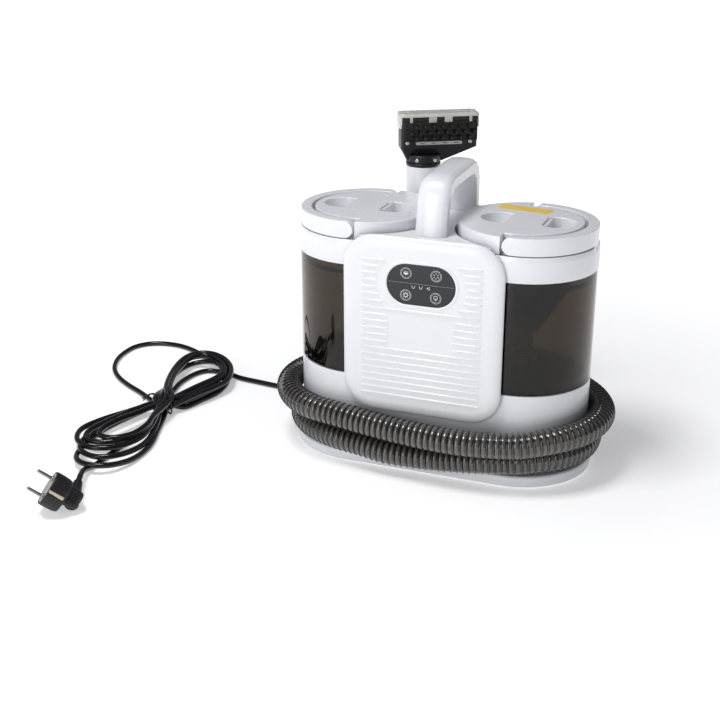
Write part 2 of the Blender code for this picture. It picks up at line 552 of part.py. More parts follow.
def build_wand():
    grip = lathe("wand_grip", [(0.0170, WAND_GRIP_BOTTOM), (0.0178, WAND_GRIP_BOTTOM + 0.002), (0.0181, 0.2365),
                               (0.0212, 0.2366), (0.0212, 0.2405), (WAND_R, 0.2420), (WAND_R, WAND_GRIP_TOP)],
                 WHITE, WAND_X, WAND_Y, sides=40)
    corners = [wand_point(u, n, 0.0) for u, n in ((-0.0072, -0.0095), (0.0072, -0.0095), (0.0072, -0.0300),
                                                  (-0.0072, -0.0300))]
    cut(grip, stack("trigger_slot", [[(p[0], p[1], z) for p in corners] for z in (0.2460, 0.2770)], BLACK))
    lathe("wand_cuff", [(0.0160, CUFF_BOTTOM), (0.0168, CUFF_BOTTOM + 0.003), (0.0168, WAND_GRIP_BOTTOM - 0.0040),
                        (0.0160, WAND_GRIP_BOTTOM - GAP)], BLACK, WAND_X, WAND_Y, sides=24)
    lathe("head_collar", [(0.0180, WAND_GRIP_TOP + GAP), (0.0189, WAND_GRIP_TOP + 0.0012), (0.0189, 0.2836),
                          (0.0182, NECK_BOTTOM - GAP)], BLACK, WAND_X, WAND_Y, sides=40)
    profile = [(-0.0140, 0.2742), (-0.0172, 0.2752), (-0.0196, 0.2700), (-0.0232, 0.2520), (-0.0222, 0.2490),
               (-0.0190, 0.2500), (-0.0158, 0.2690)]
    rings = [[wand_point(u, n, z) for n, z in profile] for u in (-0.0066, 0.0066)]
    trigger = stack("trigger", rings, BLACK)
    set_pivot(trigger, wand_point(0.0, -0.0160, 0.2725))

    head = stack("brush_head", [web_ring(NECK_BOTTOM + 0.0006), web_ring(HEAD_BOTTOM), head_ring(0.0, HEAD_BOTTOM + 0.0006),
                                head_ring(0.0, HEAD_TOP)], BLACK)
    join(head, lathe("neck_band", [(0.0182, NECK_BOTTOM), (0.0189, NECK_BOTTOM + 0.0008), (0.0189, 0.2921),
                                   (0.0183, 0.2927)], BLACK, WAND_X, WAND_Y, sides=40))
    low = 0.3215
    outside = 0.0020
    inside = GAP
    cap = stack("head_cap", [head_ring(inside, HEAD_TOP + 0.0020), head_ring(inside, low), head_ring(outside, low),
                             head_ring(outside, CAP_TOP - 0.0022), head_ring(outside - 0.0020, CAP_TOP)], CLEAR)
    corners = [wand_point(u, n, 0.0) for u, n in ((HEAD_LEFT + 0.001, HEAD_FRONT - 0.0008), (HEAD_LEFT + 0.001, 0.03),
                                                  (HEAD_RIGHT - 0.001, 0.03), (HEAD_RIGHT - 0.001, HEAD_FRONT - 0.0008))]
    cut(cap, stack("mouth", [[(p[0], p[1], z) for p in corners] for z in (0.310, 0.3335)], BLACK))

    front = HEAD_FRONT + GAP
    pad = stack("bristle_block", [[wand_point(u, n, z) for u, z in ((-0.0190, 0.3086), (0.0545, 0.3086),
                                                                  (0.0545, 0.3290), (-0.0190, 0.3290))]
                                  for n in (front, front + 0.0012)], BLACK)
    for z, first, count in ((0.3113, -0.0110, 7), (0.3172, -0.0159, 8), (0.3233, -0.0110, 7)):
        for k in range(count):
            root = Vector(wand_point(first + 0.0097 * k, front + 0.0006, z))
            tip = Vector(wand_point(first + 0.0097 * k, front + 0.0075, z))
            join(pad, rod("tuft", root, tip, 0.0019, BLACK, 6))
    bar, bar_front = [[wand_point(u, n, z) for u, z in ((-0.0108, 0.3037), (0.0402, 0.3037), (0.0402, 0.3073),
                                                        (-0.0108, 0.3073))] for n in (front, front + 0.0016)]
    stack("spray_bar", [bar, bar_front], GREY)


# ---------------------------------------------------------------- hose and its port
def around(side, stations):
    """Route points round one tank, from (angle in degrees, radius, height)."""
    return [(side * TANK_X + r * math.cos(math.radians(a)), r * math.sin(math.radians(a)), z) for a, r, z in stations]


def hose_route():
    """Two turns round the machine and a part turn at the back, then up into the wand."""
    low = HOSE_LOW_Z
    route = [(-0.0303, 0.0720, low), (-0.0560, 0.0720, low)]
    route += around(-1, [(90, 0.0720, low), (112, 0.0718, low), (135, 0.0714, low), (158, 0.0711, low),
                         (180, 0.0710, low), (202, 0.0710, low), (225, 0.0710, low), (247, 0.0719, low),
                         (268, 0.0766, low)])
    route += [(-0.0625, -0.0815, 0.0267), (-0.0340, -0.0857, 0.0246), (-0.0120, -0.0862, 0.0243),
              (0.0100, -0.0852, 0.0243), (0.0290, -0.0830, 0.0246), (0.0490, -0.0814, 0.0260),
              (0.0640, -0.0796, 0.0268), (0.0795, -0.0755, low), (0.0900, -0.0728, 0.0274)]
    route += around(1, [(-74, 0.0718, 0.0282), (-58, 0.0711, 0.0298), (-40, 0.0711, 0.0298), (-14, 0.0714, 0.0287),
                        (10, 0.0725, 0.0280), (30, 0.0757, 0.0278), (50, 0.0804, 0.0288), (70, 0.0846, 0.0333),
                        (90, 0.0865, 0.0403)])
    route += [(0.0450, 0.0865, 0.0509), (0.0, 0.0865, 0.0540), (-0.0450, 0.0865, 0.0540)]
    route += around(-1, [(90, 0.0865, 0.0540), (112, 0.0865, 0.0543), (135, 0.0864, 0.0550), (158, 0.0862, 0.0560),
                         (180, 0.0860, 0.0570), (202, 0.0858, 0.0577), (225, 0.0857, 0.0580), (247, 0.0857, 0.0578),
                         (268, 0.0860, 0.0570)])
    route += [(-0.0610, -0.0890, 0.0549), (-0.0320, -0.0919, 0.0529), (-0.0090, -0.0938, 0.0519),
              (0.0125, -0.0952, 0.0514), (0.0330, -0.0960, 0.0512), (0.0540, -0.0950, 0.0512),
              (0.0735, -0.0920, 0.0513), (0.0920, -0.0876, 0.0514)]
    route += around(1, [(-75, 0.0866, 0.0523), (-62, 0.0853, 0.0545), (-47, 0.0850, 0.0563), (-28, 0.0850, 0.0576),
                        (-8, 0.0850, 0.0580), (12, 0.0850, 0.0580), (32, 0.0850, 0.0581), (50, 0.0855, 0.0592),
                        (70, 0.0885, 0.0632), (90, 0.0945, 0.0692)])
    route += [(0.0400, 0.0980, 0.0785)]
    bend = 0.0720
    end_z = CUFF_BOTTOM - 2.0 * GAP
    for i in range(1, 7):
        a = 0.5 * math.pi * i / 6
        route.append((WAND_X + bend * (1.0 - math.sin(a)), 0.0985 + (WAND_Y - 0.0985) * i / 6,
                      end_z - 0.0210 - bend * math.cos(a)))
    return route + [(WAND_X, WAND_Y, end_z - 0.0140), (WAND_X, WAND_Y, end_z - 0.0070), (WAND_X, WAND_Y, end_z)]


def build_hose():
    port = rod("hose_port", (-0.0300, 0.0720, HOSE_LOW_Z), (0.0150, 0.0720, HOSE_LOW_Z), PORT_R, WHITE, 24)
    join(port, block("root", (-0.0100, WAIST_R + GAP, HOSE_LOW_Z - 0.0120), (0.0140, 0.0720, HOSE_LOW_Z + 0.0120),
                     WHITE))
    tube("hose", smooth_path(hose_route(), 0.0165), HOSE_R, HOSE, 2)


# ---------------------------------------------------------------- power cord
def build_cord():
    out = Vector((math.cos(GLAND_ANGLE), math.sin(GLAND_ANGLE), 0.0))
    start = Vector((-TANK_X, 0.0, GLAND_Z)) + (PLINTH_R + GLAND_OUT + GAP) * out
    floor = CORD_R + 0.0002
    lead = [start, start + 0.0130 * out, (-0.1930, 0.0740, 0.0045), (-0.2090, 0.0735, floor),
            (-0.2259, 0.0705, floor), (-0.2537, 0.0725, floor), (-0.2780, 0.0790, floor)]
    tube("cord_lead", smooth_path(lead, 0.0140), CORD_R, CORD)
    loop = [(-0.3760, 0.1440, floor), (-0.3950, 0.1500, floor), (-0.4167, 0.1530, floor), (-0.4400, 0.1470, floor),
            (-0.4570, 0.1200, floor), (-0.4570, 0.0850, floor), (-0.4440, 0.0560, floor), (-0.4188, 0.0297, floor),
            (-0.3960, 0.0150, floor), (-0.3739, 0.0007, floor), (-0.3560, -0.0110, floor)]
    tube("cord_loop", smooth_path(loop, 0.0150), CORD_R, CORD)

    upper = [(-0.343, -0.010), (-0.349, 0.035), (-0.365, 0.080), (-0.371, 0.115), (-0.357, 0.138), (-0.330, 0.140),
             (-0.306, 0.118), (-0.296, 0.085), (-0.290, 0.055), (-0.293, 0.030), (-0.307, 0.000), (-0.323, -0.038)]
    lower = [(-0.329, -0.058), (-0.320, -0.090), (-0.313, -0.125), (-0.302, -0.165), (-0.316, -0.187),
             (-0.336, -0.189), (-0.352, -0.178), (-0.366, -0.150), (-0.374, -0.125), (-0.372, -0.095),
             (-0.362, -0.065), (-0.349, -0.030)]
    hank = prism("cord_hank", upper + lower, "Z", 0.0005, HANK_TOP, CORD)
    soften(hank, 0.0040, 2, 50.0)

    pins = Vector((-0.264, -0.649, -0.714))
    pins = (pins - pins.dot(PLUG_AXIS) * PLUG_AXIS).normalized()
    side = PLUG_AXIS.cross(pins).normalized()
    face = PLUG_FACE
    plug = rod("plug", face, face - 0.0190 * PLUG_AXIS, PLUG_R, CORD, 28)
    rings = []
    for depth, low, high, half in ((0.0180, -0.0130, 0.0075, 0.0120), (0.0260, -0.0125, 0.0068, 0.0112),
                                   (0.0315, -0.0115, 0.0058, 0.0100), (0.0335, -0.0095, 0.0040, 0.0080)):
        rings.append([face - depth * PLUG_AXIS + a * pins + b * side
                      for a, b in ((low, -half), (high, -half), (high, half), (low, half))])
    join(plug, stack("grip", rings, CORD))
    for way in (-1.0, 1.0):
        root = face + way * 0.0095 * pins
        join(plug, rod("pin", root - 0.0010 * PLUG_AXIS, root + 0.0172 * PLUG_AXIS, 0.0020, STEEL, 12))
    exit_way = Vector((-0.400, 0.913, 0.060)).normalized()
    boot_start = face - 0.0275 * PLUG_AXIS
    boot_end = boot_start + 0.0375 * exit_way
    join(plug, rod("boot", boot_start, boot_end, 0.0066, CORD, 20, 0.0042))
    tail_start = boot_end + GAP * exit_way
    tail = [tail_start, tail_start + 0.0050 * exit_way, tail_start + 0.0100 * exit_way, (-0.3130, -0.2170, 0.0112),
            (-0.3172, -0.2050, 0.0082)]
    tube("cord_tail", smooth_path(tail, 0.0060), CORD_R, CORD)


build_base()
build_tower()
build_panels()
build_handle()
build_dirty_tank()
build_clean_tank()
build_machinery()
build_dock()
build_wand()
build_hose()
build_cord()
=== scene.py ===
"""Looks for the twin-tank spot extractor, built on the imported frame."""
import math

import bmesh
import bpy
import numpy as np
from mathutils import Matrix, Vector


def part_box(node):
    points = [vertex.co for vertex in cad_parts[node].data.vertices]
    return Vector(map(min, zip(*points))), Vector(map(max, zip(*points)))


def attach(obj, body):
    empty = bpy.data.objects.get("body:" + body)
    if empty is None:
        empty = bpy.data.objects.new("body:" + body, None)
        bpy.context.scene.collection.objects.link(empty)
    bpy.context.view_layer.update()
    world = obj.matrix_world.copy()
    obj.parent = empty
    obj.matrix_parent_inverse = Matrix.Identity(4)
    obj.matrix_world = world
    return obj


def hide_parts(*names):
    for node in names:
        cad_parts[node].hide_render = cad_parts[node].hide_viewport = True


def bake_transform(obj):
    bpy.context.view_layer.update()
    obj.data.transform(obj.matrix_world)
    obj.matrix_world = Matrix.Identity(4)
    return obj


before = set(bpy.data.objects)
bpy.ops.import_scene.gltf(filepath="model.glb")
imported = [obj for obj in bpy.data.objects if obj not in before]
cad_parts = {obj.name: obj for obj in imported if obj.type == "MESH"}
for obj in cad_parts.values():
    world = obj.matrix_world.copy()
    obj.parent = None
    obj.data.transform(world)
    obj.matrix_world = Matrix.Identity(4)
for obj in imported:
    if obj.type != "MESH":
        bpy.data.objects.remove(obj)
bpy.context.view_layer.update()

# ------------------------------------------------------------------ places read from the CAD (metres)
TANK_LOW, TANK_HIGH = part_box("right_tank")
TANK_X = 0.5 * (TANK_LOW.x + TANK_HIGH.x)
AXIS_Y = 0.5 * (TANK_LOW.y + TANK_HIGH.y)
PANEL_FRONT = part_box("front_panel")[0].y - AXIS_Y
LID_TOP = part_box("right_lid")[1].z

DISPLAY_Z = 0.2045
DISPLAY_HALF = 0.0145
RIB_PITCH = 0.00707
RIB_REACH = 0.062
TANK_R = 0.0705
TANK_BOTTOM = 0.0983
LID_R = 0.0697
BAIL_R_IN = 0.0585
BAIL_BOTTOM = 0.2405
LID_CUT_R = 0.055
LID_STEP = 0.0108
FLAT = 0.0195
RECESS_R = 0.019
RECESS_FLOOR = 0.2455
WAND = Vector((-0.059, 0.101, 0.0))
WAND_TURN = math.radians(30.0)
NECK_R = 0.0189
NECK_BOTTOM = 0.2845
HEAD_BOTTOM = 0.3
HEAD_LEFT = -0.0262
HEAD_RIGHT = 0.057
HOSE_R = 0.01375
HOSE_PITCH = 0.0063
CORD_R = 0.0031
RELIEF_TURN = math.radians(142.0)
RELIEF_Z = 0.0073
PLINTH_R = 0.0765
UP = Vector((0.0, 0.0, 1.0))


# ------------------------------------------------------------------ materials
def nodes_of(name):
    made = bpy.data.materials.new(name)
    made.use_nodes = True
    tree = made.node_tree
    return made, tree, tree.nodes["Principled BSDF"]


def noise_node(tree, scale, detail=4.0, roughness=0.5, stretch=(1.0, 1.0, 1.0)):
    coords = tree.nodes.new("ShaderNodeTexCoord")
    mapping = tree.nodes.new("ShaderNodeMapping")
    mapping.inputs["Scale"].default_value = stretch
    tree.links.new(coords.outputs["Object"], mapping.inputs["Vector"])
    noise = tree.nodes.new("ShaderNodeTexNoise")
    noise.inputs["Scale"].default_value = scale
    noise.inputs["Detail"].default_value = detail
    noise.inputs["Roughness"].default_value = roughness
    tree.links.new(mapping.outputs["Vector"], noise.inputs["Vector"])
    return noise.outputs["Fac"]


def spread(tree, fac, low, high, from_low=0.3, from_high=0.7):
    """Map a 0..1 value to low..high."""
    node = tree.nodes.new("ShaderNodeMapRange")
    node.inputs["From Min"].default_value = from_low
    node.inputs["From Max"].default_value = from_high
    node.inputs["To Min"].default_value = low
    node.inputs["To Max"].default_value = high
    tree.links.new(fac, node.inputs["Value"])
    return node.outputs["Result"]


def colours(tree, fac, first, second):
    ramp = tree.nodes.new("ShaderNodeValToRGB")
    ramp.color_ramp.elements[0].position = 0.35
    ramp.color_ramp.elements[1].position = 0.65
    ramp.color_ramp.elements[0].color = (*first, 1.0)
    ramp.color_ramp.elements[1].color = (*second, 1.0)
    tree.links.new(fac, ramp.inputs["Fac"])
    return ramp.outputs["Color"]


def bump(tree, shader, height, strength, distance):
    node = tree.nodes.new("ShaderNodeBump")
    node.inputs["Strength"].default_value = strength
    node.inputs["Distance"].default_value = distance
    tree.links.new(height, node.inputs["Height"])
    tree.links.new(node.outputs["Normal"], shader.inputs["Normal"])


def plastic(name, first, second, rough, grain=900.0, grain_depth=0.00002, strength=0.25, coat=0.0,
            patch=9.0, specular=0.5):
    """Moulded plastic: faint cloudy colour, uneven gloss and a fine moulded grain."""
    made, tree, shader = nodes_of(name)
    cloud = noise_node(tree, patch, 3.0)
    tree.links.new(colours(tree, cloud, first, second), shader.inputs["Base Color"])
    smear = noise_node(tree, patch * 4.0, 6.0, 0.6)
    tree.links.new(spread(tree, smear, rough[0], rough[1]), shader.inputs["Roughness"])
    bump(tree, shader, noise_node(tree, grain, 2.0), strength, grain_depth)
    shader.inputs["Coat Weight"].default_value = coat
    shader.inputs["Coat Roughness"].default_value = 0.08
    shader.inputs["Specular IOR Level"].default_value = specular
    return made


def metal(name, first, second, rough, stretch=(1.0, 1.0, 1.0)):
    made, tree, shader = nodes_of(name)
    shader.inputs["Metallic"].default_value = 1.0
    cloud = noise_node(tree, 60.0, 5.0, 0.6)
    tree.links.new(colours(tree, cloud, first, second), shader.inputs["Base Color"])
    brushed = noise_node(tree, 700.0, 3.0, 0.6, stretch)
    tree.links.new(spread(tree, brushed, rough[0], rough[1]), shader.inputs["Roughness"])
    bump(tree, shader, brushed, 0.3, 0.00002)
    return made


def see_through(name, first, second, rough, transmission, ior=1.49, specular=0.5):
    made, tree, shader = nodes_of(name)
    shader.inputs["Specular IOR Level"].default_value = specular
    shader.inputs["Transmission Weight"].default_value = transmission
    shader.inputs["IOR"].default_value = ior
    cloud = noise_node(tree, 14.0, 3.0)
    tree.links.new(colours(tree, cloud, first, second), shader.inputs["Base Color"])
    smear = noise_node(tree, 40.0, 6.0, 0.65)
    tree.links.new(spread(tree, smear, rough[0], rough[1]), shader.inputs["Roughness"])
    bump(tree, shader, noise_node(tree, 30.0, 2.0), 0.12, 0.0004)
    return made


def hose_material():
    """Smoked ribbed hose: wide glossy lands, while each raised rib and the grooves beside it are darkened from a
    value the mesh holds; in the grooves this darkening is painted shade.
    """
    made, tree, shader = nodes_of("hose_smoked")
    dark_rib_and_groove_shade = tree.nodes.new("ShaderNodeAttribute")
    dark_rib_and_groove_shade.attribute_name = "dark_rib_and_groove_shade"
    mix = tree.nodes.new("ShaderNodeMix")
    mix.data_type = "RGBA"
    tree.links.new(dark_rib_and_groove_shade.outputs["Fac"], mix.inputs["Factor"])
    tree.links.new(colours(tree, noise_node(tree, 35.0, 4.0), (0.066, 0.062, 0.057), (0.1, 0.094, 0.086)),
                   mix.inputs["A"])
    # Dark colour laid over each rib and the grooves beside it; in the grooves it is painted shade.
    mix.inputs["B"].default_value = (0.008, 0.0075, 0.007, 1.0)
    tree.links.new(mix.outputs["Result"], shader.inputs["Base Color"])
    tree.links.new(spread(tree, noise_node(tree, 90.0, 4.0), 0.1, 0.2), shader.inputs["Roughness"])
    bump(tree, shader, noise_node(tree, 500.0, 2.0), 0.2, 0.00003)
    shader.inputs["Coat Weight"].default_value = 0.7
    shader.inputs["Coat Roughness"].default_value = 0.07
    return made


WHITE = plastic("white_gloss_abs", (0.79, 0.798, 0.835), (0.805, 0.813, 0.848), (0.2, 0.29), coat=0.25)
PANEL = plastic("panel_satin_abs", (0.795, 0.8, 0.828), (0.808, 0.812, 0.838), (0.27, 0.35), coat=0.1)
BLACK = plastic("black_satin_abs", (0.007, 0.007, 0.008), (0.011, 0.011, 0.012), (0.3, 0.44), 1600.0, 0.00005, 0.5,
                specular=0.35)
NUB = plastic("black_soft_nubs", (0.007, 0.0065, 0.006), (0.013, 0.012, 0.011), (0.36, 0.52), 1200.0, 0.00005, 0.5,
              specular=0.35)
RUBBER = plastic("black_rubber_matt", (0.011, 0.011, 0.011), (0.018, 0.018, 0.018), (0.5, 0.68), 1400.0, 0.00006, 0.5,
                 specular=0.3)
CORD = plastic("cord_black_pvc", (0.006, 0.006, 0.007), (0.01, 0.01, 0.011), (0.14, 0.24), 1500.0, 0.00003, 0.3,
               patch=30.0, specular=0.4)
PLUG = plastic("plug_black_pvc", (0.008, 0.008, 0.009), (0.013, 0.013, 0.014), (0.34, 0.5), 1800.0, 0.00006, 0.5,
               specular=0.35)
GREY = plastic("grey_moulded", (0.4, 0.4, 0.385), (0.47, 0.47, 0.45), (0.34, 0.46), patch=30.0)
# Grey of the plug's face ring, a painted highlight along the face's edge.
HIGHLIGHT_GREY = plastic("grey_painted_highlight", (0.1, 0.1, 0.1), (0.15, 0.15, 0.145), (0.25, 0.4), patch=90.0)
BEIGE = plastic("beige_moulded", (0.52, 0.45, 0.33), (0.58, 0.5, 0.38), (0.36, 0.5), patch=30.0)
LENS = plastic("display_gloss", (0.017, 0.018, 0.022), (0.022, 0.023, 0.027), (0.12, 0.18), 500.0, 0.00001, 0.1,
               coat=0.1, specular=0.3)
PRINT = plastic("display_print", (0.74, 0.74, 0.74), (0.82, 0.82, 0.81), (0.4, 0.5), patch=60.0)
LABEL = plastic("label_yellow", (0.8, 0.56, 0.1), (0.86, 0.63, 0.16), (0.4, 0.5), patch=50.0)
BOARD = plastic("board_green", (0.03, 0.14, 0.06), (0.05, 0.2, 0.09), (0.35, 0.5), patch=80.0)
SMOKE = see_through("smoked_clear", (0.145, 0.112, 0.076), (0.165, 0.13, 0.092), (0.03, 0.06), 1.0, 1.4, 0.25)
CLEAR = see_through("clear_cap", (0.93, 0.92, 0.87), (0.97, 0.96, 0.92), (0.08, 0.16), 0.6)
HOSE = hose_material()
STEEL = metal("screw_steel", (0.52, 0.51, 0.48), (0.66, 0.65, 0.61), (0.22, 0.38))
PIN = metal("pin_nickel", (0.26, 0.235, 0.21), (0.4, 0.37, 0.33), (0.28, 0.44), (1.0, 1.0, 12.0))
MOTOR = metal("motor_can", (0.42, 0.42, 0.43), (0.52, 0.52, 0.53), (0.28, 0.42), (1.0, 1.0, 14.0))


# ------------------------------------------------------------------ shape helpers
def merged(*parts):
    verts = []
    faces = []
    for part_verts, part_faces in parts:
        base = len(verts)
        verts += [tuple(v) for v in part_verts]
        faces += [tuple(base + i for i in face) for face in part_faces]
    return verts, faces


def moved(part, matrix):
    verts, faces = part
    return [matrix @ Vector(v) for v in verts], faces


def shifted(part, x=0.0, y=0.0, z=0.0):
    return moved(part, Matrix.Translation((x, y, z)))


def skin(rings, loop=False, caps=True):
    """Surface through rings that all have the same number of points."""
    size = len(rings[0])
    verts = [tuple(p) for ring in rings for p in ring]
    faces = []
    count = len(rings)
    for k in range(count if loop else count - 1):
        a = k * size
        b = ((k + 1) % count) * size
        for i in range(size):
            j = (i + 1) % size
            faces.append((a + i, a + j, b + j, b + i))
    if caps and not loop:
        faces.append(tuple(range(size - 1, -1, -1)))
        faces.append(tuple((count - 1) * size + i for i in range(size)))
    return verts, faces


def rounded(points, closed=False, steps=5):
    """Polyline of (a, b) or (a, b, radius) with its corners rounded."""
    made = []
    total = len(points)
    for i, point in enumerate(points):
        radius = point[2] if len(point) > 2 else 0.0
        here = Vector(point[:2])
        if radius <= 0.0 or (not closed and i in (0, total - 1)):
            made.append(tuple(here))
            continue
        before = Vector(points[i - 1][:2]) - here
        after = Vector(points[(i + 1) % total][:2]) - here
        half = 0.5 * before.angle(after)
        reach = min(radius / math.tan(half), 0.49 * before.length, 0.49 * after.length)
        start = here + reach * before.normalized()
        end = here + reach * after.normalized()
        centre = here + (reach / math.cos(half)) * (before.normalized() + after.normalized()).normalized()
        for k in range(steps + 1):
            t = k / steps
            spoke = (start - centre).lerp(end - centre, t)
            made.append(tuple(centre + spoke.normalized() * (start - centre).length))
    return made


def circle(radius, z, sides=96, x=0.0, y=0.0):
    turn = 2 * math.pi / sides
    return [(x + radius * math.cos(turn * i), y + radius * math.sin(turn * i), z) for i in range(sides)]


def stadium(radius, z, half=TANK_X, sides=60):
    ring = []
    for side, start in ((1.0, -0.5 * math.pi), (-1.0, 0.5 * math.pi)):
        for i in range(sides + 1):
            a = start + math.pi * i / sides
            ring.append((side * half + radius * math.cos(a), radius * math.sin(a), z))
    return ring


def lathe(profile, x=0.0, y=0.0, loop=False, sides=96):
    return skin([circle(r, z, sides, x, y) for r, z in profile], loop)


def box_ring(x0, x1, y0, y1, corner, z, steps=8):
    ring = []
    for cx, cy, start in ((x1 - corner, y0 + corner, -0.5), (x1 - corner, y1 - corner, 0.0),
                          (x0 + corner, y1 - corner, 0.5), (x0 + corner, y0 + corner, 1.0)):
        for i in range(steps + 1):
            a = math.pi * (start + 0.5 * i / steps)
            ring.append((cx + corner * math.cos(a), cy + corner * math.sin(a), z))
    return ring


def soft_box(x0, x1, y0, y1, z0, z1, edge=0.0005, corner=0.001):
    """Block with rounded corners and softened top and bottom edges."""
    rings = []
    for k in range(4):
        a = 0.5 * math.pi * k / 3
        inset = edge * (1.0 - math.sin(a))
        rings.append(box_ring(x0 + inset, x1 - inset, y0 + inset, y1 - inset, max(corner - inset, 1e-5),
                              z0 + edge * (1.0 - math.cos(a)), 5))
    for k in range(4):
        a = 0.5 * math.pi * k / 3
        inset = edge * (1.0 - math.cos(a))
        rings.append(box_ring(x0 + inset, x1 - inset, y0 + inset, y1 - inset, max(corner - inset, 1e-5),
                              z1 - edge * (1.0 - math.sin(a)), 5))
    return skin(rings)


def stand(part, y):
    """Turn a part built on the XY plane so that its z points out of the front, at y."""
    return moved(part, Matrix.Translation((0.0, y, 0.0)) @ Matrix.Rotation(math.radians(90.0), 4, "X"))


def put(name, part, material, body, stands_for=(), sharp=32.0, offset=True, dark_rib_and_groove_shade=None):
    """Make one piece from verts and faces, in tank-centred coordinates unless offset is False. Without a body it is
    left unattached."""
    verts, faces = part
    mesh = bpy.data.meshes.new(name)
    mesh.from_pydata([tuple(v) for v in verts], [], faces)
    # Per-point darkening for the hose's ribs and the grooves beside them; in the grooves it is painted shade.
    if dark_rib_and_groove_shade is not None:
        layer = mesh.attributes.new("dark_rib_and_groove_shade", "FLOAT", "POINT")
        layer.data.foreach_set("value", np.array(dark_rib_and_groove_shade, np.float32))
    if offset:
        mesh.transform(Matrix.Translation((0.0, AXIS_Y, 0.0)))
    shape = bmesh.new()
    shape.from_mesh(mesh)
    bmesh.ops.recalc_face_normals(shape, faces=shape.faces[:])
    shape.to_mesh(mesh)
    shape.free()
    mesh.materials.append(material)
    mesh.shade_smooth()
    mesh.set_sharp_from_angle(angle=math.radians(sharp))
    for face in mesh.polygons:
        if max(abs(c) for c in face.normal) > 0.999995:
            face.use_smooth = False
    piece = bpy.data.objects.new(name, mesh)
    bpy.context.collection.objects.link(piece)
    if body:
        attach(piece, body)
    if stands_for:
        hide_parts(*stands_for)
    return piece


def plate(outlines, z0, z1, edge, steps=3):
    """Flat plate with holes and rolled edges: the first outline is the rim and the others are holes."""
    curve = bpy.data.curves.new("plate", "CURVE")
    curve.dimensions = "2D"
    curve.fill_mode = "BOTH"
    curve.extrude = 0.5 * (z1 - z0) - edge
    curve.bevel_depth = edge
    curve.bevel_resolution = steps - 1
    curve.offset = -edge
    for outline in outlines:
        spline = curve.splines.new("POLY")
        spline.points.add(len(outline) - 1)
        for slot, (x, y) in zip(spline.points, outline):
            slot.co = (x, y, 0.0, 1.0)
        spline.use_cyclic_u = True
    holder = bpy.data.objects.new("plate", curve)
    bpy.context.collection.objects.link(holder)
    graph = bpy.context.evaluated_depsgraph_get()
    mesh = bpy.data.meshes.new_from_object(holder.evaluated_get(graph))
    shape = bmesh.new()
    shape.from_mesh(mesh)
    bmesh.ops.remove_doubles(shape, verts=shape.verts[:], dist=1e-6)
    shape.verts.index_update()
    verts = [tuple(v.co) for v in shape.verts]
    faces = [tuple(v.index for v in f.verts) for f in shape.faces]
    shape.free()
    bpy.data.objects.remove(holder, do_unlink=True)
    bpy.data.meshes.remove(mesh)
    return shifted((verts, faces), z=0.5 * (z0 + z1))


def arc(cx, cy, radius, start, end, steps):
    return [(cx + radius * math.cos(math.radians(start + (end - start) * i / steps)),
             cy + radius * math.sin(math.radians(start + (end - start) * i / steps)))
            for i in range(steps + 1)]


def spaced(route, spacing):
    """Catmull-Rom curve through the route, read at an even spacing."""
    points = [Vector(p) for p in route]
    points = [2 * points[0] - points[1]] + points + [2 * points[-1] - points[-2]]
    fine = []
    for a, b, c, d in zip(points, points[1:], points[2:], points[3:]):
        for i in range(16):
            t = i / 16.0
            fine.append(0.5 * ((2 * b) + (c - a) * t + (2 * a - 5 * b + 4 * c - d) * t * t
                               + (3 * b - a - 3 * c + d) * t * t * t))
    fine.append(points[-2])
    at = [0.0]
    for a, b in zip(fine, fine[1:]):
        at.append(at[-1] + (b - a).length)
    count = max(2, round(at[-1] / spacing))
    wanted = np.linspace(0.0, at[-1], count + 1)
    coords = np.array([tuple(p) for p in fine])
    return [Vector(p) for p in np.stack([np.interp(wanted, at, coords[:, k]) for k in range(3)], axis=1)]


def sweep(points, radii, sides=24):
    """Tube along points with one radius per point, carried without twist."""
    rings = []
    side = None
    last = len(points) - 1
    for i, p in enumerate(points):
        way = (points[min(i + 1, last)] - points[max(i - 1, 0)]).normalized()
        if side is None:
            side = way.cross(UP if abs(way.z) < 0.9 else Vector((0.0, 1.0, 0.0))).normalized()
        side = (side - side.dot(way) * way).normalized()
        over = side.cross(way)
        ring = []
        for k in range(sides):
            a = 2 * math.pi * k / sides
            ring.append(p + radii[i] * (math.cos(a) * side + math.sin(a) * over))
        rings.append(ring)
    return skin(rings)


def turned(profile, start, way, sides=32):
    """Lathe whose axis leaves start along way; profile is (radius, distance)."""
    turn = Vector(way).normalized().to_track_quat("Z", "Y").to_matrix().to_4x4()
    return moved(lathe(profile, sides=sides), Matrix.Translation(Vector(start)) @ turn)


def screw_head(centre, way, radius):
    """Round screw head with a cross recess, made as a turned dome with two slots standing in it."""
    centre = Vector(centre)
    way = Vector(way).normalized()
    turn = Matrix.Translation(centre) @ way.to_track_quat("Z", "Y").to_matrix().to_4x4()
    sides = 32
    rings = []
    profile = [(1.0, -0.3), (1.0, 0.12), (0.86, 0.3), (0.66, 0.38), (0.52, 0.4)]
    for r, z in profile:
        rings.append(circle(r * radius, z * radius, sides))
    cross = []
    for i in range(sides):
        a = 2 * math.pi * i / sides
        reach = 0.5 if abs(math.sin(2 * a)) < 0.42 else 0.2
        cross.append((reach * radius * math.cos(a), reach * radius * math.sin(a), 0.4 * radius))
    rings.append(cross)
    rings.append([(0.7 * x, 0.7 * y, -0.05 * radius) for x, y, z in cross])
    return moved(skin(rings), turn)


